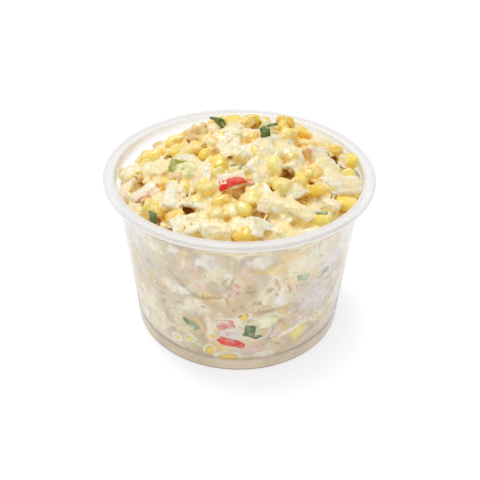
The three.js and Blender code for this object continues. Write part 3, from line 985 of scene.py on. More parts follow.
# %% [markdown]
# ## The dressing
#
# Dressing isn't a layer of even thickness. It fills the gaps between the pieces, rounds every
# inner corner, and thins out to nothing on the highest crowns. Modelling that by hand would take
# thousands of strokes. Instead the pieces are copied, swollen by most of a millimetre and melted
# into one skin with the body of the heap by a voxel remesh. Shrinking that skin again leaves the
# narrow gaps filled, which is what a thick sauce does. Noise then decides where it stays a little
# outside the pieces, as a coat, and where it sinks under them, so that the food shows.
#
# The top needs a fine skin and the side, seen through the plastic, a coarser one. So the melting
# is done twice, and each skin is cut off where the other takes over.

# %% The body of the heap
BODY_DEPTH = 1.7
BODY_SWELL = 1.5
BODY_RINGS = 26
BODY_STEPS = 96
SEAM_HEIGHT = 61.5
SEAM_SLOPE = 0.13  # the seam is higher in front, where the surface is higher
SEAM_OVERLAP = 2.5
TUCK = 0.7


def heap_body():
    bm = bmesh.new()
    edge = SHOULDER_RADIUS + 2.5
    rings = [edge * (1 - ring / BODY_RINGS) + 0.001 for ring in range(BODY_RINGS + 1)]
    outline = [(0.001, FLOOR_TOP - 1), (FOOT_RADIUS, FLOOR_TOP - 1), (edge, 40)]
    outline += [(radius, CUP_HEIGHT) for radius in rings]
    points = [bm.verts.new((r * MM, 0, z * MM)) for r, z in outline]
    edges = [bm.edges.new(pair) for pair in zip(points, points[1:] + points[:1])]
    bmesh.ops.spin(
        bm, geom=points + edges, axis=(0, 0, 1), cent=(0, 0, 0),
        angle=2 * math.pi, steps=BODY_STEPS, use_merge=True,
    )
    bmesh.ops.remove_doubles(bm, verts=bm.verts, dist=0.01 * MM)
    for v in bm.verts:
        if v.co.z > (CUP_HEIGHT - 1) * MM:
            x, y = v.co.x / MM, v.co.y / MM
            swell = BODY_SWELL * noise.noise(Vector((x, y, 0)) * 0.16)
            v.co.z = (mound_height(x, y) - BODY_DEPTH + swell) * MM
    bmesh.ops.recalc_face_normals(bm, faces=bm.faces)
    return bm


def cut_at_seam(bm, height, keep_above):
    """Cuts a closed body at the seam and closes it again."""
    normal = Vector((0, SEAM_SLOPE, 1)).normalized()
    bmesh.ops.bisect_plane(
        bm, geom=bm.verts[:] + bm.edges[:] + bm.faces[:], dist=0,
        plane_co=(0, 0, height * MM), plane_no=normal,
        clear_inner=keep_above, clear_outer=not keep_above,
    )
    open_edges = [e for e in bm.edges if e.is_boundary]
    for edge in open_edges:
        edge.smooth = False
    bmesh.ops.edgeloop_fill(bm, edges=open_edges)
    return bm


# %% Swell the pieces, melt them with the body, and shrink the skin again
SWELL = {"kernel": 0.74, "other": 0.92}  # smooth skins shed the dressing
SHRINK = 0.78
TOP_VOXEL = 0.51
SIDE_VOXEL = 0.75
MELTED = {"kernel": ("kernel",), "other": ("egg", "crab", "cucumber", "strip", "crumb")}


def melted(bm, voxel):
    mesh = bpy.data.meshes.new("melting")
    bm.to_mesh(mesh)
    bm.free()
    melting = bpy.data.objects.new("melting", mesh)
    bpy.context.scene.collection.objects.link(melting)
    remesh = melting.modifiers.new("melt", "REMESH")
    remesh.mode = "VOXEL"
    remesh.voxel_size = voxel * MM
    graph = bpy.context.evaluated_depsgraph_get()
    result = bmesh.new()
    result.from_object(melting, graph)
    bpy.data.objects.remove(melting)
    bpy.data.meshes.remove(mesh)
    return result


def add_swollen(bm, pieces):
    for group, kinds in MELTED.items():
        swollen = gathered(kinds, pieces)
        swollen.normal_update()
        for v in swollen.verts:
            v.co += v.normal * SWELL[group] * MM
        mesh = bpy.data.meshes.new("swollen")
        swollen.to_mesh(mesh)
        swollen.free()
        bm.from_mesh(mesh)
        bpy.data.meshes.remove(mesh)


def dressing_skin(pieces, voxel, keep_above):
    bm = heap_body()
    add_swollen(bm, pieces)
    bm = melted(bm, voxel)
    for _ in range(2):
        bmesh.ops.smooth_vert(
            bm, verts=bm.verts, factor=0.5, use_axis_x=True, use_axis_y=True, use_axis_z=True,
        )
    height = SEAM_HEIGHT if keep_above else SEAM_HEIGHT + SEAM_OVERLAP
    cut_at_seam(bm, height, keep_above)
    bm.normal_update()
    return bm


top_share = [piece for piece in every_piece if piece["matrix"].translation.z > 50 * MM]
side_share = [piece for piece in every_piece if piece["part"] != "top"]
top_skin = dressing_skin(top_share, TOP_VOXEL, keep_above=True)
side_skin = dressing_skin(side_share, SIDE_VOXEL, keep_above=False)
print("skins of", len(top_skin.faces), "and", len(side_skin.faces), "faces")

# %% [markdown]
# ## Thin and thick places
#
# On top the skin is moved in and out by noise of two sizes. At the wall it is pressed flat, but
# not everywhere: where it didn't reach the plastic there are long, thin cracks and small oval
# pockets of air, and the salad behind them is painted darker and more orange, as shade.

# %% Move the skins in and out
AIR_POCKETS = [
    # x, z, half the width, half the height, in millimetres
    (8, 40.4, 2.0, 1.2), (11.8, 35.8, 4.2, 1.8), (2.5, 32.8, 2.2, 1.2), (5.5, 46.9, 2.4, 0.8),
    (12.6, 46.9, 1.4, 1.2), (-28, 30, 1.4, 0.9), (-31.5, 31.5, 1.0, 1.4), (22, 41, 1.2, 0.9),
    (33, 14.8, 1.4, 0.9), (17, 27.6, 1.4, 0.9), (-13.2, 42.5, 1.4, 1.4),
]
FOLD_SHADES = [
    # painted shade in the folds where two pieces meet at the wall: points x, z along each
    [(-27.5, 52), (-25.7, 49), (-22.5, 46.1), (-19.3, 43.6), (-16.5, 41.2), (-12.8, 42.3), (-7, 42.8)],
    [(-1.6, 55), (-2.6, 50), (-5, 44), (-3, 39)],
    [(-15.5, 29), (-13, 24), (-15, 18.5)],
    [(14.9, 52.3), (16.4, 46.9), (15.4, 42.6)],
    [(20.4, 47), (21.6, 43.4)],
]
PALE_EDGES = [
    # light edges of pieces at the wall
    [(6, 31.8), (10.1, 30), (14.2, 32), (17.5, 33.4), (21.8, 31.1)],
    [(15, 47), (17, 43.6), (20, 45.6)],
    [(-9.3, 24.9), (-7.6, 31.3), (-0.6, 31.4), (1.9, 27.2)],
    [(-27.4, 14), (-27.2, 9), (-23.4, 6.6), (-19, 7), (-14.6, 6.2)],
]
RINGS = [
    # light rings round the kernels that touch the wall: x, z, half the width, half the height
    (-20.4, 14.7, 2.2, 2.1), (-10.7, 19.6, 2.0, 1.8), (-11.7, 10.4, 2.7, 3.3), (2.7, 32.6, 2.7, 2.0),
    (-3.8, 6.8, 5.4, 4), (11.8, 6.3, 4.2, 3.8), (26.5, 17.4, 3, 3.8), (-26.3, 12.2, 2.0, 2.2),
    (34, 21, 2.2, 2.4), (-5, 27.6, 4.6, 3.6), (8.8, 24, 5, 5.4),
]
CRACK_WIDTH = 0.022
CRACK_DEPTH = 0.5
HOLLOW_DEPTH = 3.2


def film(place):
    """How thick the dressing lies at a point of the top, in millimetres, thin below zero."""
    broad = noise.noise(place * 0.14 + Vector((3, 0, 9)))
    middle = noise.noise(place * 0.42)
    lumps = noise.noise(place * 1.1 + Vector((0, 7, 0)))
    crease = 1 - eased(abs(noise.noise(place * 0.3 + Vector((20, 0, 0)))), 0, 0.08)
    hollow = HOLLOW_DEPTH * (1 - eased(from_hollow(place.x, place.y), 0.3, 1.1))
    return 0.45 * broad + 0.3 * middle + 0.14 * lumps - 0.3 * crease - hollow


def air_gap(place):
    """How far the salad stays off the plastic at a point near the wall, in millimetres."""
    x, y, z = place
    crack_line = abs(noise.noise(Vector((x, y, z * 1.3)) * 0.085 + Vector((0, 0, 4))))
    broken = eased(noise.noise(Vector((x, y, z)) * 0.12 + Vector((9, 0, 0))), 0.0, 0.35)
    gap = CRACK_DEPTH * broken * (1 - eased(crack_line, CRACK_WIDTH / 3, CRACK_WIDTH))
    small = noise.noise(Vector((x, y, z * 1.5)) * 0.34 + Vector((40, 0, 0)))
    gap = max(gap, 0.6 * eased(small, 0.6, 0.72))
    for pocket_x, pocket_z, half_width, half_height in AIR_POCKETS if y < 0 else ():
        off = math.hypot((x - pocket_x) / half_width, (z - pocket_z) / half_height)
        gap = max(gap, 0.9 * (1 - eased(off, 0.65, 1.0)))
    return gap


def from_line(x, z, points):
    """How far a place on the wall is from a line through the points, in millimetres."""
    nearest = math.inf
    for (x0, z0), (x1, z1) in zip(points, points[1:]):
        along = ((x - x0) * (x1 - x0) + (z - z0) * (z1 - z0)) / ((x1 - x0) ** 2 + (z1 - z0) ** 2)
        along = clamped(along)
        off = math.hypot(x - x0 - along * (x1 - x0), z - z0 - along * (z1 - z0))
        nearest = min(nearest, off)
    return nearest


def fold_shade_and_edge(place):
    """How strongly a point near the wall lies in the painted shade of a fold and on a light edge."""
    x, y, z = place
    if y > 0:
        return 0, 0
    waver = noise.noise_vector(place * 0.5)
    x, z = x + 0.8 * waver.x, z + 0.8 * waver.z
    fold_shade = min(from_line(x, z, points) for points in FOLD_SHADES)
    edge = min(from_line(x, z, points) for points in PALE_EDGES)
    for ring_x, ring_z, half_width, half_height in RINGS:
        off = math.hypot((x - ring_x) / half_width, (z - ring_z) / half_height) - 1
        edge = min(edge, abs(off) * half_height)
    return 1 - eased(fold_shade, 0.2, 0.9), 1 - eased(edge, 0.1, 0.6)


def past_seam(place):
    """How far up the overlap of the two skins a point is, from 0 at its foot to 1 at its top."""
    return clamped((place.z + SEAM_SLOPE * place.y - SEAM_HEIGHT) / SEAM_OVERLAP)


def tucked(co, share):
    """Draws the cut edge of a skin in, so that it ends out of sight behind the other skin."""
    radius = math.hypot(co.x, co.y)
    inwards = 1 - min(TUCK * MM, radius) * share ** 4 / max(radius, MM)
    return Vector((co.x * inwards, co.y * inwards, co.z))


def shape_top(bm):
    wall = bm.verts.layers.float.new("wall")
    for v in bm.verts:
        share = 1 - past_seam(v.co / MM)
        v.co += v.normal * (film(v.co / MM) - SHRINK) * MM
        v.co = pressed(v.co, 0.04)
        x, y, z = v.co / MM
        v[wall] = eased(math.hypot(x, y) - inner_radius(z), -0.7, -0.1)
        v.co = tucked(v.co, share)


def shape_side(bm):
    air = bm.verts.layers.float.new("air")
    low = bm.verts.layers.float.new("low")
    fold_shade = bm.verts.layers.float.new("fold_shade")
    pale_edge = bm.verts.layers.float.new("pale_edge")
    for v in bm.verts:
        share = past_seam(v.co / MM)
        v.co = tucked(pressed(v.co - v.normal * SHRINK * MM * 0.5), share)
        x, y, z = v.co / MM
        radius = math.hypot(x, y)
        if radius > inner_radius(z) - 1 and z > 9:
            gap = air_gap(v.co / MM)
            v.co.x *= 1 - gap / radius
            v.co.y *= 1 - gap / radius
            v[air] = clamped(gap)
        v[low] = clamped(0.5 + 0.2 * (lower_edge(math.atan2(y, x)) - z))
        v[fold_shade], v[pale_edge] = fold_shade_and_edge(Vector((x, y, z)))


shape_top(top_skin)
shape_side(side_skin)
dressing = linked("dressing", top_skin)
side_dressing = linked("side_dressing", side_skin)

# %% [markdown]
# ## What shows through, and how deep a gap is
#
# Where the dressing is thin its colour isn't its own: corn shows through yellow and crab stick
# pink. So each point of the skin looks up the nearest piece under it, and keeps that piece's
# colour in `tint`, with more of it the nearer the piece is.
#
# Light that falls in a gap bounces between yellow and cream many times before it comes out, and
# comes out amber. A renderer does that only in part, so each point of the top also keeps in
# `gap` how much of the sky is hidden from it within a few millimetres. Both are found with a
# tree of all faces, which answers "what is near" and "what is in the way" fast.

# %% Store tints, gaps and coats on the points
TINTS = {
    # the colour at tone 0 and at tone 1
    "sweetcorn": ((0.99, 0.78, 0.22), (0.98, 0.62, 0.06)),
    "egg_dice": ((0.99, 0.93, 0.72), (0.97, 0.82, 0.42)),
    "crab_stick": ((0.99, 0.89, 0.62), (0.98, 0.76, 0.56)),
    "crab_shreds": ((0.99, 0.92, 0.74), (0.98, 0.84, 0.60)),
    "cucumber_dice": ((0.94, 0.90, 0.56), (0.80, 0.80, 0.38)),
}
SHOW_THROUGH = 1.5
SIDE_SHOW_THROUGH = 1.3
GAP_REACH = 6
SKY = [Vector((0, 0, 1))]
for elevation, count in ((50, 4), (20, 6)):
    for n in range(count):
        turn = 2 * math.pi * (n + elevation / 100) / count
        flat = math.cos(math.radians(elevation))
        up = math.sin(math.radians(elevation))
        SKY.append(Vector((flat * math.cos(turn), flat * math.sin(turn), up)))
WHOLE_SKY = sum(way.z for way in SKY)


def tree_of(pieces):
    bm = bmesh.new()
    for piece in pieces:
        bm.from_mesh(piece.data)
    tree = BVHTree.FromBMesh(bm)
    bm.free()
    return tree


def tones_of_faces(piece):
    tones = piece.data.attributes["tone"].data
    return [tones[face.vertices[0]].value for face in piece.data.polygons]


def keep_mark(piece, name, values):
    mark = piece.data.attributes.get(name) or piece.data.attributes.new(name, "FLOAT", "POINT")
    mark.data.foreach_set("value", values)


def keep_tint(piece, reach, most):
    colours = []
    for v in piece.data.vertices:
        nearest, name, face = reach, None, 0
        for other, tree in tint_trees.items():
            hit = tree.find_nearest(v.co, nearest * MM)
            if hit[3] is not None and hit[3] / MM < nearest:
                nearest, name, face = hit[3] / MM, other, hit[2]
        if name:
            pale, deep = TINTS[name]
            colour = Vector(pale).lerp(Vector(deep), tint_tones[name][face])
            colours += [*colour, most * (1 - nearest / reach)]
        else:
            colours += [1, 1, 1, 0]
    tint = piece.data.attributes.new("tint", "FLOAT_COLOR", "POINT")
    tint.data.foreach_set("color", colours)


# The grey lump colour is painted shade, and the lavender one partly painted light.
LUMP_COLOURS = {
    "white": (1.0, 0.98, 0.90), "cream": (1.0, 0.92, 0.66), "golden": (0.98, 0.74, 0.30),
    "rosy": (0.94, 0.64, 0.52), "mauve": (0.80, 0.60, 0.66), "grey": (0.74, 0.66, 0.50),
    "leafy": (0.70, 0.80, 0.54), "lavender": (0.84, 0.77, 0.82), "plum": (0.62, 0.24, 0.26),
}
LUMPS = [
    # colour, x, z, half the width, half the height of each lump. Most are foods just behind the
    # dressing; the grey ones are painted shade, the lavender ones on the right partly painted light
    ("grey", -35, 48, 8, 9), ("grey", -26, 50, 6, 6), ("grey", 9, 52, 5, 5), ("grey", -27, 38, 7, 5),
    ("lavender", 32, 34, 9, 14), ("lavender", 38, 50, 6, 9), ("cream", -38, 24, 7, 9),
    ("cream", -10, 55, 8, 6), ("cream", -34, 60, 5, 3.5), ("cream", 27, 65, 6, 3),
    ("white", -25.5, 63, 3.4, 2.6), ("white", -12.8, 61, 5.4, 4.2), ("white", 8, 61.5, 5.6, 4.2),
    ("white", -3, 55, 3, 3), ("white", -21.5, 42.5, 4, 3), ("white", 17, 41, 3, 5),
    ("golden", -20.5, 63.4, 3, 1.8), ("golden", 19, 63.6, 3.6, 3.2), ("golden", 16.6, 57, 3, 5),
    ("golden", 25, 17, 3, 3.4), ("golden", -25.6, 17.5, 2.6, 2.4), ("golden", 11.8, 35.8, 4, 1.8),
    ("rosy", -17, 53.5, 3.4, 3.6), ("rosy", -14.4, 47.6, 3, 2.6), ("rosy", 5, 53, 2.2, 2),
    ("rosy", 2, 58, 1.4, 5), ("mauve", 24.6, 25, 2.6, 1.8), ("mauve", 14.6, 21, 4, 3),
    ("leafy", 12.4, 27, 4.4, 2.6), ("leafy", 8.6, 24, 2.4, 3.4), ("leafy", -18, 12, 3.4, 1.8),
    ("lavender", -1.8, 22, 5.6, 4.6), ("white", 12, 6.4, 4, 3.6), ("cream", -5.4, 7, 5, 3),
    ("plum", -5, 27.6, 4, 3), ("plum", -2.4, 47, 3, 3.6), ("cream", -25.5, 11, 3, 4),
    ("leafy", -24.5, 7.5, 3, 1), ("golden", 20, 61, 4, 2), ("golden", 24, 62, 4, 3),
]


def keep_lumps(piece):
    """Blends named lumps, some of them painted shade, over nearby tint, with wavering edges."""
    for v, mark in zip(piece.data.vertices, piece.data.attributes["tint"].data):
        x, y, z = v.co / MM
        if y > 0:
            continue
        waver = 0.7 * noise.noise(Vector((x, y, z)) * 0.4)
        for name, at_x, at_z, half_width, half_height in LUMPS:
            off = math.hypot((x - at_x) / half_width, (z - at_z) / half_height) + waver
            if off < 1.2:
                amount = 0.85 * (1 - eased(off, 0.3, 1.1))
                shown = max(mark.color[3], amount)
                blend = amount / shown if shown > 0 else 0
                colour = Vector(mark.color[:3]).lerp(Vector(LUMP_COLOURS[name]), blend)
                mark.color = (*colour, shown)


def keep_gap_shade(piece):
    values = []
    for v in piece.data.vertices:
        if v.co.z < 58 * MM:
            values.append(0)
            continue
        start = v.co + v.normal * 0.12 * MM
        hidden = [way.z for way in SKY if whole_tree.ray_cast(start, way, GAP_REACH * MM)[0]]
        x, y, z = v.co / MM
        gap = sum(hidden) / WHOLE_SKY * eased(COLLAR_RADIUS - WALL - math.hypot(x, y), 0.5, 4)
        # Points that lie below the mean surface in a deep gap also get painted shade.
        sunk = eased(mound_height(x, y) - z, -0.6, 1.2) * (1 - eased(from_hollow(x, y), 0.6, 1.2))
        values.append(max(gap, 0.95 * sunk))
    keep_mark(piece, "gap", values)


def keep_coat(piece):
    """The coat grows a little where a point faces up, and it comes in patches."""
    marks = piece.data.attributes["coat"].data
    values = []
    for v, mark in zip(piece.data.vertices, marks):
        patch = noise.noise(v.co / MM * 0.35 + Vector((0, 0, 30)))
        values.append(clamped(mark.value * 1.15 - 0.1 + 0.5 * patch + 0.15 * v.normal.z))
    keep_mark(piece, "coat", values)


tint_trees = {name: tree_of([foods[name]]) for name in TINTS}
tint_tones = {name: tones_of_faces(foods[name]) for name in TINTS}
whole_tree = tree_of([dressing, *foods.values()])
keep_tint(dressing, SHOW_THROUGH, 0.9)
keep_tint(side_dressing, SIDE_SHOW_THROUGH, 0.55)
keep_lumps(side_dressing)
for piece in (dressing, *foods.values()):
    keep_gap_shade(piece)
for piece in foods.values():
    keep_coat(piece)
print("marked", len(dressing.data.vertices), "points of dressing")

# %% [markdown]
# ## Materials of the food
#
# Everything in the salad is moist and lets light in: it goes a millimetre or two under the
# surface and comes out warmer, which subsurface scattering gives. Each food's colour is built in
# the same order as on the real thing: its own flesh by `tone`, its skin or root, then the broken
# coat of dressing. Last comes the amber of the gaps, which is painted shade. The noise that breaks
# up each step is finer than the pieces, because crumbs and bubbles make the real mix uneven.

# %% A paint box: short names for the nodes that every material needs
class PaintBox:
    """A new material and the nodes in it."""

    def __init__(self, name):
        self.material = bpy.data.materials.new(name)
        self.material.use_nodes = True
        self.nodes = self.material.node_tree.nodes
        self.links = self.material.node_tree.links
        self.shader = self.nodes["Principled BSDF"]

    def give(self, socket, value):
        """Puts a number, a colour or another node's output in a socket."""
        if isinstance(value, bpy.types.NodeSocket):
            self.links.new(value, socket)
        elif isinstance(value, tuple):
            socket.default_value = (*value, 1)
        else:
            socket.default_value = value

    def noise(self, scale, detail=3, offset=0.0, swirl=0.0):
        """Noise on the object's own coordinates. The scale is in bumps to the metre."""
        coordinates = self.nodes.new("ShaderNodeTexCoord")
        mapping = self.nodes.new("ShaderNodeMapping")
        mapping.inputs["Location"].default_value = (offset, offset * 0.7, 0)
        pattern = self.nodes.new("ShaderNodeTexNoise")
        pattern.inputs["Scale"].default_value = scale
        pattern.inputs["Detail"].default_value = detail
        pattern.inputs["Distortion"].default_value = swirl
        self.links.new(coordinates.outputs["Object"], mapping.inputs["Vector"])
        self.links.new(mapping.outputs["Vector"], pattern.inputs["Vector"])
        return pattern.outputs["Fac"]

    def ramp(self, source, stops):
        """A colour ramp with stops of (position, colour or grey)."""
        node = self.nodes.new("ShaderNodeValToRGB")
        elements = node.color_ramp.elements
        while len(elements) < len(stops):
            elements.new(0.5)
        for element, (position, colour) in zip(elements, stops):
            element.position = position
            element.color = (*colour, 1) if isinstance(colour, tuple) else (colour,) * 3 + (1,)
        self.links.new(source, node.inputs["Fac"])
        return node.outputs["Color"]

    def pressed_cells(self, scale):
        """Pieces squashed flat against each other: their thin outlines and their colours."""
        coordinates = self.nodes.new("ShaderNodeTexCoord")
        bend = self.nodes.new("ShaderNodeTexNoise")
        bend.inputs["Scale"].default_value = 90
        bend.inputs["Detail"].default_value = 1
        bent = self.nodes.new("ShaderNodeVectorMath")
        bent.operation = "MULTIPLY_ADD"
        bent.inputs[1].default_value = (0.009, 0.009, 0.009)
        self.links.new(coordinates.outputs["Object"], bend.inputs["Vector"])
        self.links.new(bend.outputs["Color"], bent.inputs[0])
        self.links.new(coordinates.outputs["Object"], bent.inputs[2])
        results = []
        for feature, output in (("DISTANCE_TO_EDGE", "Distance"), ("SMOOTH_F1", "Color")):
            cells = self.nodes.new("ShaderNodeTexVoronoi")
            cells.feature = feature
            cells.inputs["Scale"].default_value = scale
            self.links.new(bent.outputs["Vector"], cells.inputs["Vector"])
            results.append(cells.outputs[output])
        cells.inputs["Smoothness"].default_value = 0.7
        line = self.ramp(results[0], [(0.0, 1.0), (0.06, 0.0)])
        broken = self.ramp(self.noise(130, offset=1.3), [(0.48, 0.0), (0.6, 0.8)])
        shades = self.ramp(results[1], [
            (0.2, (0.80, 0.62, 0.32)), (0.4, (0.96, 0.84, 0.48)), (0.6, (1.0, 0.94, 0.76)),
            (0.8, (0.88, 0.66, 0.52)),
        ])
        return self.maths("MULTIPLY", line, broken), shades

    def mixed(self, factor, first, second, blend="MIX"):
        node = self.nodes.new("ShaderNodeMix")
        node.data_type = "RGBA"
        node.blend_type = blend
        self.give(node.inputs["Factor"], factor)
        for name, value in (("A", first), ("B", second)):
            sockets = [socket for socket in node.inputs if socket.name == name]
            colour = next(socket for socket in sockets if socket.type == "RGBA")
            self.give(colour, value)
        return next(socket for socket in node.outputs if socket.type == "RGBA")

    def mark(self, name, output="Fac"):
        node = self.nodes.new("ShaderNodeAttribute")
        node.attribute_name = name
        return node.outputs[output]

    def maths(self, operation, first, second, third=0.0):
        node = self.nodes.new("ShaderNodeMath")
        node.operation = operation
        for socket, value in zip(node.inputs, (first, second, third)):
            self.give(socket, value)
        return node.outputs["Value"]

    def painted_gap_shade(self, colour):
        """Painted gap shade over a colour: amber first, and dark brown in the deepest ones."""
        tone = self.ramp(self.mark("gap"), [
            (0.2, (1.0, 1.0, 1.0)), (0.5, (1.0, 0.94, 0.70)), (0.76, (0.98, 0.77, 0.38)),
            (0.94, (0.50, 0.20, 0.05)),
        ])
        return self.mixed(1.0, colour, tone, "MULTIPLY")

    def bumps(self, source, height, strength=0.6):
        bump = self.nodes.new("ShaderNodeBump")
        bump.inputs["Strength"].default_value = strength
        bump.inputs["Distance"].default_value = height * MM
        self.links.new(source, bump.inputs["Height"])
        self.links.new(bump.outputs["Normal"], self.shader.inputs["Normal"])

    def moist(self, colour, roughness, weight, depth, shine=0.5):
        """Sets a wet surface that light goes into."""
        self.links.new(colour, self.shader.inputs["Base Color"])
        self.shader.inputs["Roughness"].default_value = roughness
        self.shader.inputs["Subsurface Weight"].default_value = weight
        self.shader.inputs["Subsurface Radius"].default_value = (1.0, 0.6, 0.28)
        self.shader.inputs["Subsurface Scale"].default_value = depth * MM
        self.shader.inputs["Specular IOR Level"].default_value = shine
        return self.material


# %% Dressing
CREAM = (1.0, 0.96, 0.78)
YOLKY = (1.0, 0.87, 0.42)


def pressed_colour(box, tint_share):
    """Dressing at the wall: duller and more mixed than on top, with the tint of what it hides."""
    blotches = box.noise(75, detail=3, offset=0.4, swirl=1.0)
    # The blotches vary the dressing at random; their darker stops, and those of the pressed cells, are
    # partly painted shade that keeps the side darker than the top.
    cream = box.ramp(blotches, [
        (0.36, (1.0, 0.96, 0.80)), (0.45, (0.82, 0.73, 0.51)), (0.55, (0.56, 0.47, 0.32)),
        (0.7, (0.66, 0.50, 0.40)),
    ])
    outlines, shades = box.pressed_cells(scale=90)
    spread = box.ramp(box.noise(60, offset=2.1), [(0.4, 0.1), (0.6, 0.55)])
    cream = box.mixed(spread, cream, shades)
    amount = box.maths("MULTIPLY", box.mark("tint", "Alpha"), tint_share)
    colour = box.mixed(amount, cream, box.mark("tint", "Color"))
    streaks = box.ramp(box.noise(75, detail=2, offset=4.2, swirl=1.2), [
        (0.36, (1.0, 1.0, 1.0)), (0.5, (0.94, 0.88, 0.78)), (0.64, (1.0, 1.0, 1.0)),
    ])
    colour = box.mixed(1.0, colour, streaks, "MULTIPLY")
    return box.mixed(outlines, colour, (0.76, 0.54, 0.32))


def dressing_material():
    box = PaintBox("dressing")
    blotches = box.noise(170, offset=0.2)
    cream = box.ramp(blotches, [(0.34, CREAM), (0.66, YOLKY)])
    grain = box.ramp(box.noise(600, detail=2), [(0.35, 0.65), (0.65, 1.0)])
    amount = box.maths("MULTIPLY", box.mark("tint", "Alpha"), grain)
    colour = box.mixed(amount, cream, box.mark("tint", "Color"))
    streaks = box.noise(210, detail=3, offset=4.2, swirl=2.6)
    streak_colour = box.ramp(streaks, [
        (0.4, (1.0, 1.0, 1.0)), (0.5, (1.0, 0.93, 0.74)), (0.6, (1.0, 1.0, 1.0)),
    ])
    colour = box.mixed(1.0, colour, streak_colour, "MULTIPLY")
    rosy = box.ramp(box.noise(120, detail=3, offset=7.7, swirl=1.8), [
        (0.45, (1.0, 1.0, 1.0)), (0.5, (1.0, 0.91, 0.87)), (0.55, (1.0, 1.0, 1.0)),
    ])
    colour = box.mixed(1.0, colour, rosy, "MULTIPLY")
    colour = box.painted_gap_shade(colour)
    colour = box.mixed(box.mark("wall"), colour, pressed_colour(box, 0.6))
    relief = box.maths("MULTIPLY_ADD", streaks, 1.2, box.noise(620, detail=4))
    box.bumps(relief, 0.45)
    return box.moist(colour, roughness=0.28, weight=0.2, depth=1.0)


def side_dressing_material():
    box = PaintBox("pressed_dressing")
    colour = pressed_colour(box, 1.0)
    patchy = box.ramp(box.noise(260, offset=6.1), [(0.3, 0.25), (0.6, 0.95)])
    fold_shade = box.maths("MULTIPLY", box.mark("fold_shade"), patchy)
    # Painted shade: brown lines along the folds between pieces.
    colour = box.mixed(fold_shade, colour, (0.56, 0.34, 0.14))
    pale_edge = box.maths("MULTIPLY", box.mark("pale_edge"), patchy)
    colour = box.mixed(pale_edge, colour, (1.0, 0.97, 0.86))
    # Painted shade: behind the cracks and air pockets the salad is darker and more orange.
    air = box.mark("air")
    hollow = box.ramp(air, [(0.4, (0.70, 0.46, 0.22)), (0.85, (0.88, 0.72, 0.44))])
    colour = box.mixed(box.ramp(air, [(0.05, 0.0), (0.35, 0.8)]), colour, hollow)
    low = box.mark("low")
    edge = box.ramp(low, [(0.34, 0.0), (0.42, 0.8), (0.48, 0.8), (0.52, 0.0)])
    colour = box.mixed(box.maths("MULTIPLY", edge, patchy), colour, (0.95, 0.90, 0.76))
    # Under the lower edge the dressing is beige-brown: partly the thin dressing's own colour, partly
    # painted shade of the corner.
    thin = box.ramp(box.noise(85, detail=3, offset=8.8), [
        (0.35, (0.84, 0.72, 0.53)), (0.55, (0.77, 0.62, 0.47)), (0.7, (0.74, 0.56, 0.44)),
    ])
    colour = box.mixed(box.ramp(low, [(0.49, 0.0), (0.53, 1.0)]), colour, thin)
    box.bumps(box.noise(400, detail=3), 0.2)
    return box.moist(colour, roughness=0.5, weight=0.15, depth=1.4)


# %% Foods
def food_material(
    name, by_tone, skin_colour, coat_colour, roughness, bump_height, grain=650, shine=0.5,
):
    box = PaintBox(name)
    flesh = box.ramp(box.mark("tone"), by_tone)
    mottle = box.maths("MULTIPLY", box.noise(330, offset=0.5), 0.2)
    flesh = box.mixed(mottle, flesh, coat_colour)
    pale_specks = box.ramp(box.noise(420, offset=1.7), [(0.45, 0.0), (0.7, 0.3)])
    skin = box.mixed(pale_specks, skin_colour, coat_colour)
    colour = box.mixed(box.mark("skin"), flesh, skin)
    broken = box.maths("MULTIPLY_ADD", box.noise(360, detail=4, offset=0.9), 1.0, -0.5)
    coat = box.maths("ADD", box.mark("coat"), broken)
    coat = box.ramp(coat, [(0.22, 0.0), (0.85, 0.85)])
    colour = box.mixed(coat, colour, coat_colour)
    colour = box.painted_gap_shade(colour)
    box.bumps(box.noise(grain, detail=3, offset=0.3), bump_height)
    return box.moist(colour, roughness, weight=0.25, depth=1.6, shine=shine)


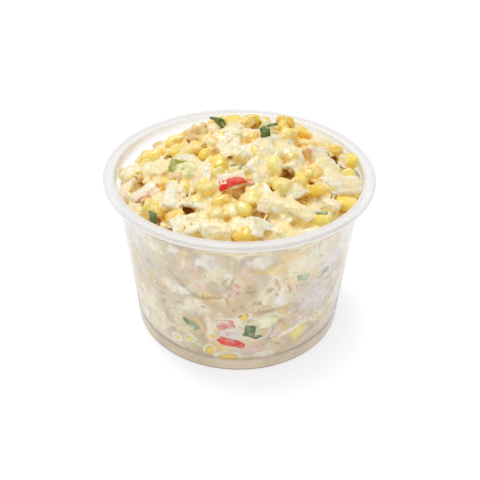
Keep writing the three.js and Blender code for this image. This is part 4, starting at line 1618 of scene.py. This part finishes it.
MATERIALS = {
    "sweetcorn": food_material(
        "sweetcorn",
        [(0.0, (1.0, 0.82, 0.14)), (0.5, (1.0, 0.70, 0.05)), (1.0, (0.98, 0.57, 0.03))],
        skin_colour=(0.90, 0.64, 0.30), coat_colour=(1.0, 0.91, 0.56),
        roughness=0.2, bump_height=0.12,
    ),
    "egg_dice": food_material(
        "egg",
        [(0.0, (0.99, 0.96, 0.84)), (0.6, (0.99, 0.93, 0.74)), (1.0, (0.96, 0.78, 0.34))],
        skin_colour=CREAM, coat_colour=(0.99, 0.91, 0.68), roughness=0.34, bump_height=0.25,
    ),
    "egg_crumbs": food_material(
        "egg_crumb",
        [(0.0, (0.99, 0.92, 0.66)), (0.5, (0.98, 0.80, 0.34)), (1.0, (0.95, 0.60, 0.12))],
        skin_colour=CREAM, coat_colour=CREAM, roughness=0.45, bump_height=0.2,
    ),
    "crab_stick": food_material(
        "crab_stick",
        [(0.0, (1.0, 0.95, 0.80)), (0.8, (0.99, 0.90, 0.68)), (1.0, (0.98, 0.78, 0.64))],
        skin_colour=(0.88, 0.035, 0.012), coat_colour=(0.99, 0.90, 0.70),
        roughness=0.3, bump_height=0.2, grain=900, shine=0.3,
    ),
    "crab_shreds": food_material(
        "crab_shred",
        [(0.0, (1.0, 0.96, 0.84)), (0.75, (0.98, 0.88, 0.66)), (1.0, (0.97, 0.78, 0.62))],
        skin_colour=CREAM, coat_colour=(0.99, 0.92, 0.70),
        roughness=0.3, bump_height=0.2, grain=900,
    ),
    "cucumber_dice": food_material(
        "cucumber",
        [(0.0, (0.99, 0.93, 0.62)), (1.0, (0.93, 0.88, 0.50))],
        skin_colour=(0.34, 0.34, 0.03), coat_colour=(1.0, 0.94, 0.62),
        roughness=0.3, bump_height=0.15, shine=0.3,
    ),
    "herb_bits": food_material(
        "herb",
        [(0.0, (0.04, 0.08, 0.01)), (0.6, (0.14, 0.22, 0.03)), (1.0, (0.34, 0.44, 0.09))],
        skin_colour=(0.10, 0.17, 0.03), coat_colour=(0.74, 0.78, 0.52),
        roughness=0.6, bump_height=0.15, shine=0.15,
    ),
}
dressing.data.materials.append(dressing_material())
side_dressing.data.materials.append(side_dressing_material())
for name, piece in foods.items():
    piece.data.materials.append(MATERIALS[name])
print("materials", sorted(material.name for material in bpy.data.materials))

# %% [markdown]
# ## Clear plastic
#
# The cup isn't glass. Thin polypropylene is see-through with a milky haze in it, and that haze
# looks thicker where the line of sight runs along the wall, at the edges and on the rim. Real
# refraction through two faces less than a millimetre apart would change little and cost much, so
# the wall is mixed from a see-through part, a hazy white part that grows with the angle, and a
# thin gloss.

# %% The cup's material
def plastic_material():
    box = PaintBox("clear_plastic")
    clear = box.nodes.new("ShaderNodeBsdfTransparent")
    clear.inputs["Color"].default_value = (0.96, 0.965, 0.975, 1)
    foot = box.mark("foot")
    # Painted on the foot: a tan band for the salad's colour reflected and shaded in the thick plastic,
    # then a lighter line and a dark line of painted shadow and refraction at its very bottom.
    base = box.ramp(foot, [
        (0.0, (0.89, 0.90, 0.94)), (0.04, (0.88, 0.76, 0.60)), (0.84, (0.86, 0.71, 0.51)),
        (0.885, (0.98, 0.84, 0.64)), (0.92, (0.26, 0.17, 0.10)),
    ])
    seen_through = box.ramp(box.noise(55, detail=4, offset=3.1, swirl=0.6), [
        (0.36, (0.80, 0.78, 0.78)), (0.5, (0.92, 0.91, 0.89)), (0.62, (1.0, 1.0, 1.0)),
    ])
    base = box.mixed(box.ramp(foot, [(0.0, 0.0), (0.05, 1.0)]), base, seen_through, "MULTIPLY")
    base = box.mixed(box.mark("thick"), base, (0.89, 0.87, 0.845))
    box.links.new(base, box.shader.inputs["Base Color"])
    box.shader.inputs["Roughness"].default_value = 0.3
    box.shader.inputs["Specular IOR Level"].default_value = 0
    edge = box.nodes.new("ShaderNodeLayerWeight")
    edge.inputs["Blend"].default_value = 0.5
    facing = edge.outputs["Facing"]
    haze = box.maths("MULTIPLY_ADD", box.maths("POWER", facing, 2.0), 0.2, 0.012)
    haze = box.maths("MULTIPLY_ADD", box.maths("POWER", facing, 8.0), 0.5, haze)
    rim_haze = box.maths("MULTIPLY_ADD", facing, 0.6, 0.27)
    haze = box.maths("MULTIPLY_ADD", box.mark("thick"), rim_haze, haze)
    foot_haze = box.ramp(foot, [(0.02, 0.0), (0.14, 0.5), (0.3, 0.7), (1.0, 0.88)])
    haze = box.maths("ADD", foot_haze, haze)
    body = box.nodes.new("ShaderNodeMixShader")
    box.links.new(haze, body.inputs["Fac"])
    box.links.new(clear.outputs["BSDF"], body.inputs[1])
    box.links.new(box.shader.outputs["BSDF"], body.inputs[2])
    gloss = box.nodes.new("ShaderNodeBsdfGlossy")
    gloss.inputs["Roughness"].default_value = 0.07
    mirror = box.maths("MULTIPLY_ADD", box.maths("POWER", facing, 4.0), 0.6, 0.02)
    whole = box.nodes.new("ShaderNodeMixShader")
    box.links.new(mirror, whole.inputs["Fac"])
    box.links.new(body.outputs["Shader"], whole.inputs[1])
    box.links.new(gloss.outputs["BSDF"], whole.inputs[2])
    box.links.new(whole.outputs["Shader"], box.nodes["Material Output"].inputs["Surface"])
    return box.material


cup.data.materials.append(plastic_material())
print("cup faces", len(cup.data.polygons))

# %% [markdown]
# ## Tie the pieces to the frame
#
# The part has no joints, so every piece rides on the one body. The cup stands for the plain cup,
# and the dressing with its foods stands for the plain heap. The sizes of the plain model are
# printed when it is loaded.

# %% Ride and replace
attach(cup, "root")
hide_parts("cup")
salad_slots = {name: slot for name, (kinds, slot) in FOODS.items()}
salad_slots.update({"dressing": "dressing", "side_dressing": "dressing"})
for name, slot in salad_slots.items():
    piece = bpy.data.objects[name]
    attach(piece, "root")
    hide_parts("salad")
